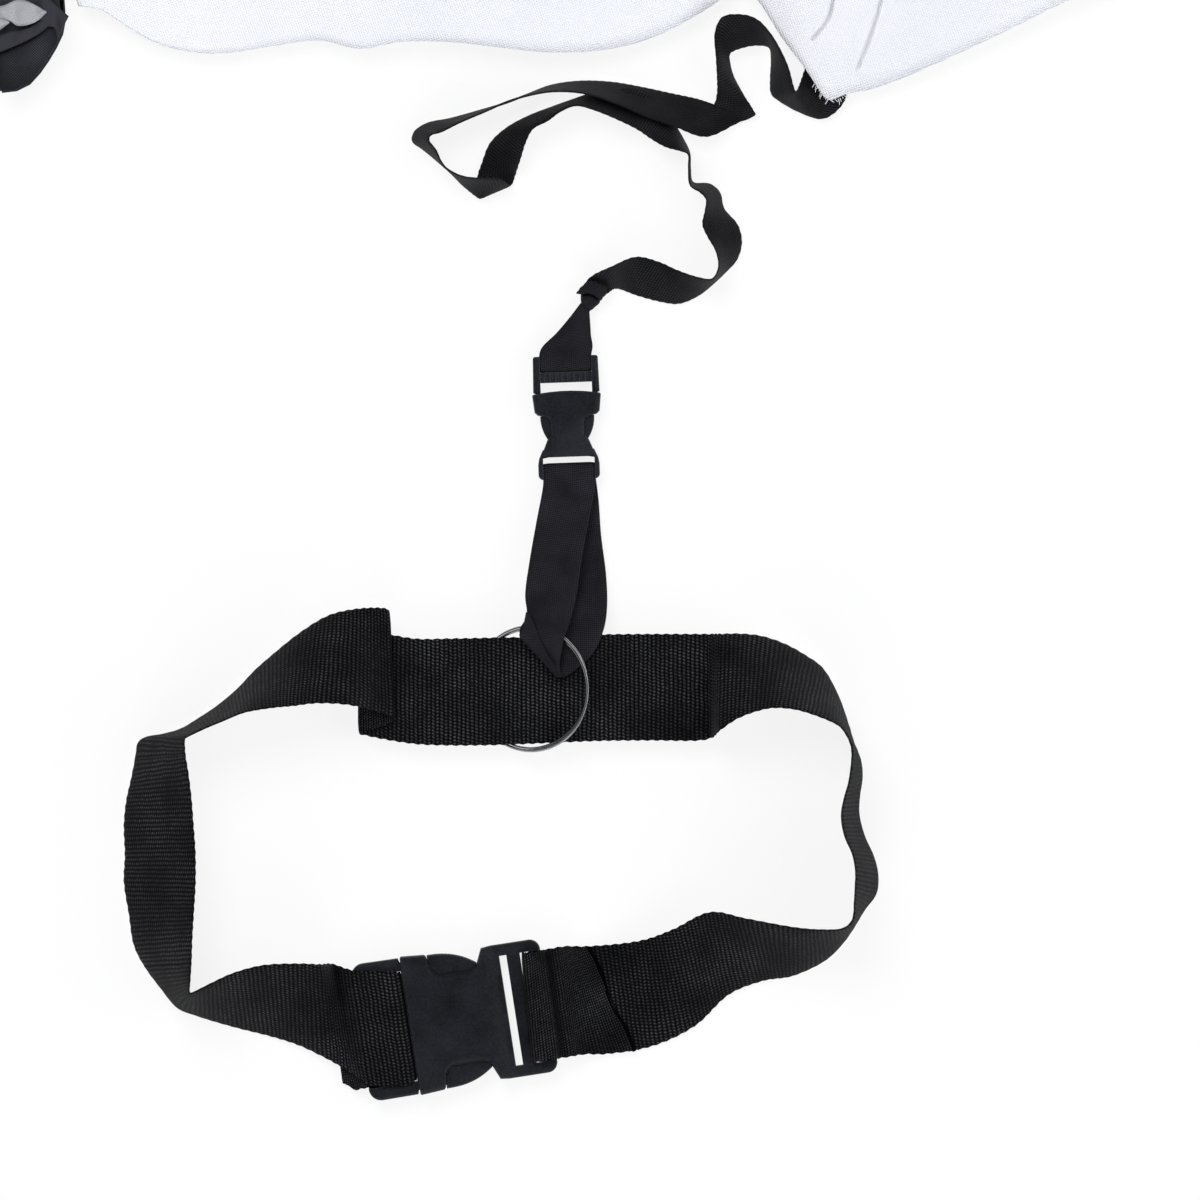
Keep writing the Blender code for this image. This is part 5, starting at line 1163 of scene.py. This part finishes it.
def carve(name, mesh, boxes=(), more=()):
    """The mesh with boxes cut out and other meshes joined on, its sharp edges softened."""
    obj, tools = linked(name, mesh), []
    for (x0, y0, z0), (x1, y1, z1) in boxes:
        ends = [[(x, y0, z0), (x, y1, z0), (x, y1, z1), (x, y0, z1)] for x in (x0, x1)]
        tools.append((linked("cut", ring_mesh("cut", ends)), "DIFFERENCE"))
    tools += [(linked("joined", extra), "UNION") for extra in more]
    for tool, operation in tools:
        modifier = obj.modifiers.new("cut", "BOOLEAN")
        modifier.operation, modifier.object = operation, tool
    bevel = obj.modifiers.new("edge", "BEVEL")
    bevel.width, bevel.segments = 0.00022, 2
    bevel.limit_method, bevel.angle_limit = "ANGLE", math.radians(38)
    made = bpy.data.meshes.new_from_object(obj.evaluated_get(bpy.context.evaluated_depsgraph_get()))
    for item in [obj] + [tool for tool, _ in tools]:
        bpy.data.objects.remove(item)
    made.name = name
    made.materials.clear()
    made.shade_smooth()
    made.set_sharp_from_angle(angle=math.radians(50))
    return made


def slot_box(size, start, end, low=None, high=None):
    """A cut as wide as the webbing's slot, by default through the whole height."""
    half, tall = size.width / 2 + size.rail_gap, size.shell_half_height + PAST
    return (start, -half, -tall if low is None else low), (end, half, tall if high is None else high)


def shell_mesh(size):
    """The hollow half: a collar at the mouth, open side windows, then a frame with the end bar."""
    thin, tall, wall = size.frame_half_height, size.shell_half_height, size.wall
    collar_end, length = size.collar_half - size.collar_taper, size.collar_length
    slope = size.collar_chamfer
    window, body_end = size.window_half, size.cavity_depth + wall
    widths = [(0, size.collar_half - EDGE), (EDGE, size.collar_half)]
    widths += [(length - slope, collar_end), (length, collar_end - slope)]
    widths += [(length + wall * way, window + wall * rise) for way, rise in FILLET]
    widths += [(size.window_end - wall * 1.5, window), (size.window_end, window + size.waist_rise)]
    start, end, half = size.frame_start, size.shell_length, size.frame_half
    widths += [(start, half - EDGE), (start + 2 * wall, half)]
    widths += corner_points(end - size.shell_round, end, half, size.shell_round)
    heights = [(0, tall - EDGE), (EDGE, tall), (size.window_end, tall)]
    heights += [(size.cavity_depth, tall - EDGE), (body_end, (tall + thin) / 2), (body_end + wall, thin)]
    rings = []
    for along in sorted({point[0] for point in widths + heights}):
        half, half_height = (np.interp(along, *zip(*points)) for points in (widths, heights))
        rings.append(section(along, half, half_height, size.mouth_bulge if along <= EDGE else 0))
    inner, catch = size.collar_half - wall, size.collar_half - size.catch_inset
    lip, cavity, bar, over = length - wall, tall - wall, size.end_bar_start, size.shell_length + PAST
    boxes = [
        ((-PAST, -inner, -cavity), (lip, inner, cavity)),
        ((lip - PAST, -catch, -cavity), (size.cavity_depth, catch, cavity)),
        slot_box(size, size.end_slot_start, bar),
        slot_box(size, bar - PAST, over, low=size.end_bar_half),
        slot_box(size, bar - PAST, over, high=-size.end_bar_half),
        slot_box(size, bar + size.end_bar_length, over),
    ]
    if size.slot_end > size.slot_start:
        boxes.append(slot_box(size, size.slot_start, size.slot_end))
    return carve(f"{size.name}_shell_moulded", ring_mesh("shell", rings), boxes)


def frame_mesh(size):
    """The plug half: rails and bars for the webbing, a neck inside the mouth and a guide tongue."""
    tall, rail_tall = size.shell_half_height - size.wall - PLAY, size.frame_half_height
    inner, outer = size.collar_half - size.wall - PLAY, size.collar_half - size.rail_taper
    reach, gap, neck, low_bar = size.reach, size.mouth_gap, size.neck_half, -size.inner_bar_half
    tongue, tongue_tall, tip = size.tongue_half, size.tongue_half_height, size.tongue_length
    ends = corner_points(size.rail_round - reach, -reach, outer, size.rail_round)
    profile = [
        *[(along, half, rail_tall) for along, half in reversed(ends)],
        (-gap - EDGE, size.collar_half - EDGE, rail_tall),
        (-gap, inner, rail_tall),
        (gap, inner, tall),
        (size.neck_bar, inner, tall),
        (size.neck_bar + EDGE, neck, tall),
        (size.neck_length, neck - EDGE, tall - EDGE),
        (size.neck_length + EDGE, tongue, tongue_tall),
        (tip - size.wall, tongue, tongue_tall),
        (tip, tongue - size.wall, tongue_tall - EDGE),
    ]
    outer_end, inner_start = -reach + size.outer_bar_length, -size.inner_bar_start
    inner_end, over = inner_start + size.inner_bar_length, rail_tall + PAST
    cut = partial(slot_box, size)
    boxes = [
        cut(outer_end, inner_start, -over, over),
        cut(inner_end, -gap, -over, over),
        cut(-reach - PAST, outer_end + EDGE, size.outer_bar_top, over),
        cut(-reach - PAST, outer_end + EDGE, -over, low_bar),
        cut(inner_start - EDGE, inner_end + EDGE, -low_bar, over),
        cut(inner_start - EDGE, inner_end + EDGE, -over, low_bar),
    ]
    groove_half, groove_floor = 0.0004, -low_bar - EDGE
    for y in np.linspace(-0.5, 0.5, size.grooves + 2)[1:-1] * size.width:
        low, high = (inner_start - EDGE, y - groove_half), (inner_end + EDGE, y + groove_half)
        boxes.append(((*low, groove_floor), (*high, over)))
    plug = ring_mesh("frame", [section(*row) for row in profile])
    return carve(f"{size.name}_frame_moulded", plug, boxes)


def tab_point(size, way):
    """A point on the outer edge of a prong's tab, at a share of its length from the shoulder."""
    shoulder = size.collar_length + EDGE
    drop = size.tab_drop * way**size.tab_power
    return shoulder + (size.tab_end - shoulder) * way, size.collar_half - size.tab_inset - drop


def prism(outline, side, tall):
    """A flat piece from an outline seen from above, with chamfered edges."""
    outline = [Vector(point) for point in outline]
    middle, rings = sum(outline, Vector((0, 0))) / len(outline), []
    for height, shrink in ((-tall, 1), (-tall * 0.75, 0), (tall * 0.75, 0), (tall, 1)):
        points = [point + (middle - point).normalized() * shrink * tall / 8 for point in outline]
        rings.append([(x, side * y, height) for x, y in points])
    return ring_mesh("prong", rings)


def prong_mesh(size, side, label):
    """One spring arm with its outer tab, hooked behind the collar."""
    shoulder, window = size.collar_length + EDGE, size.window_half
    inside, lapped = size.collar_half - size.catch_inset - PLAY, window - size.prong_lap
    outline = [
        (
            size.pivot_along + size.pivot_radius * math.cos(angle),
            size.pivot_across + size.pivot_radius * math.sin(angle),
        )
        for angle in np.linspace(math.pi / 2, 3 * math.pi / 2, 9)
    ]
    outline += [(shoulder, lapped), (size.tab_end - TAB_BLUNT, lapped)]
    outline += [tab_point(size, way) for way in np.linspace(1, 0, 16)] + [(shoulder, inside)]
    more = []
    if size.tab_half_height:
        span = size.tab_end - shoulder
        edge = [tab_point(size, way) for way in np.linspace(0.9, 0.04, 16)]
        edge.append((shoulder + span * 0.04, inside - size.wall))
        edge.append((shoulder + span * 0.22, window + size.tab_near))
        edge.append((shoulder + span * 0.9, window + size.tab_far))
        more.append(prism(edge, side, size.tab_half_height))
    arm = prism(outline, side, size.prong_half_height)
    return carve(f"{size.name}_prong_{label}_moulded", arm, (), more)


def build_buckles():
    """Both side-release buckles, each as a shell, a frame and two prongs."""
    for size in (BELT_BUCKLE, QUICK_BUCKLE):
        at = Matrix.Translation(place(*size.middle, size.height)) @ Matrix.Rotation(size.turn, 4, "Z")
        prongs = prong_mesh(size, 1, "a"), prong_mesh(size, -1, "b")
        meshes = (shell_mesh(size), frame_mesh(size), *prongs)
        for mesh, body, node in zip(meshes, size.bodies, ("shell", "frame", "prong_a", "prong_b")):
            mesh.transform(at)
            add(mesh, black_plastic, body, f"{size.name}_{node}", slot="black_acetal")


# ---- Floor, lights and camera ----


def build_floor():
    """Pale paper, which camera rays see as white except where something lies close above it."""
    low, high = cad_bounds
    x, y = (low[0] + high[0]) / 2, (low[1] + high[1]) / 2
    mesh, reach, level = bpy.data.meshes.new("floor"), 6.0, -0.0002
    ways = ((-1, -1), (1, -1), (1, 1), (-1, 1))
    corners = [(x + i * reach, y + j * reach, level) for i, j in ways]
    mesh.from_pydata(corners, [], [(0, 1, 2, 3)])
    g = Material("floor_paper")
    paper = g.ramp(g.noise(3.0, 2.0), (0.3, (0.90, 0.90, 0.905)), (0.7, (0.93, 0.93, 0.935)))
    g.finish(paper, 0.9)
    glow = g.node("Emission", Color=(1, 1, 1, 1))
    camera, glossy, through = (
        g.node("LightPath", f"Is {kind} Ray") for kind in ("Camera", "Glossy", "Transmission")
    )
    seen = g.math("MAXIMUM", g.math("MAXIMUM", camera, glossy), through)
    share = seen * 0.85 * g.held(g.shade(12) * 11.0 - 2.1, 0.0)
    mixed = g.node("MixShader", _0=share, _1=Signal(g, g.shader.outputs[0]), _2=glow)
    g.feed(g.nodes["Material Output"], Surface=mixed)
    mesh.materials.append(g.holder)
    linked("floor", mesh)


def build_world():
    """A studio with a bright band low round the part, lighter on one side, and a white backdrop."""
    world = bpy.data.worlds.new("studio")
    bpy.context.scene.world = world
    g = Graph(world)
    way = g.node("TexCoord", "Generated")
    stops = [(at, (level * 0.97, level * 0.985, level)) for at, level in SKY]
    aside = g.node("VectorMath", "Value", {"operation": "DOT_PRODUCT"}, _0=way, _1=(0.42, -0.42, 0))
    studio = g.nodes["Background"]
    g.feed(studio, Color=g.ramp(g.parts(way)[2], *stops), Strength=aside + 0.75)
    backdrop = g.node("Background", Color=(1, 1, 1, 1))
    seen = g.node("LightPath", "Is Camera Ray")
    mixed = g.node("MixShader", _0=seen, _1=Signal(g, studio.outputs[0]), _2=backdrop)
    g.feed(g.nodes["World Output"], Surface=mixed)


def build_lamps_and_camera():
    """Three soft lamps and the photograph's view from above, 12 grid units wide."""
    centre = place(6.0, 6.0)
    for name, offset, size, power in (
        ("key", (-0.5, 0.9, 1.9), 1.1, 29.12),
        ("fill", (1.4, -0.2, 1.6), 1.4, 13.44),
        ("front", (-0.2, -1.6, 1.3), 1.2, 10.08),
    ):
        lamp = bpy.data.lights.new(name, "AREA")
        lamp.shape, lamp.size, lamp.energy = "DISK", size, power
        obj = linked(name, lamp)
        obj.location = centre + Vector(offset)
        obj.rotation_euler = (centre - obj.location).to_track_quat("-Z", "Y").to_euler()
        obj.visible_glossy = False

    camera, distance = bpy.data.cameras.new("camera"), 5.0
    camera.sensor_width = 36.0
    camera.lens = camera.sensor_width * distance / (12 * GRID)
    camera.clip_start, camera.clip_end = 0.05, 30.0
    obj = linked("camera", camera)
    obj.location = centre + Vector((0, 0, distance))
    bpy.context.scene.camera = obj
    bpy.context.scene.view_settings.view_transform = "Standard"


build_floor()
build_world()
build_lamps_and_camera()
build_belt()
build_straps()
build_ring()
build_cloth()
build_details()
build_knot()
build_buckles()
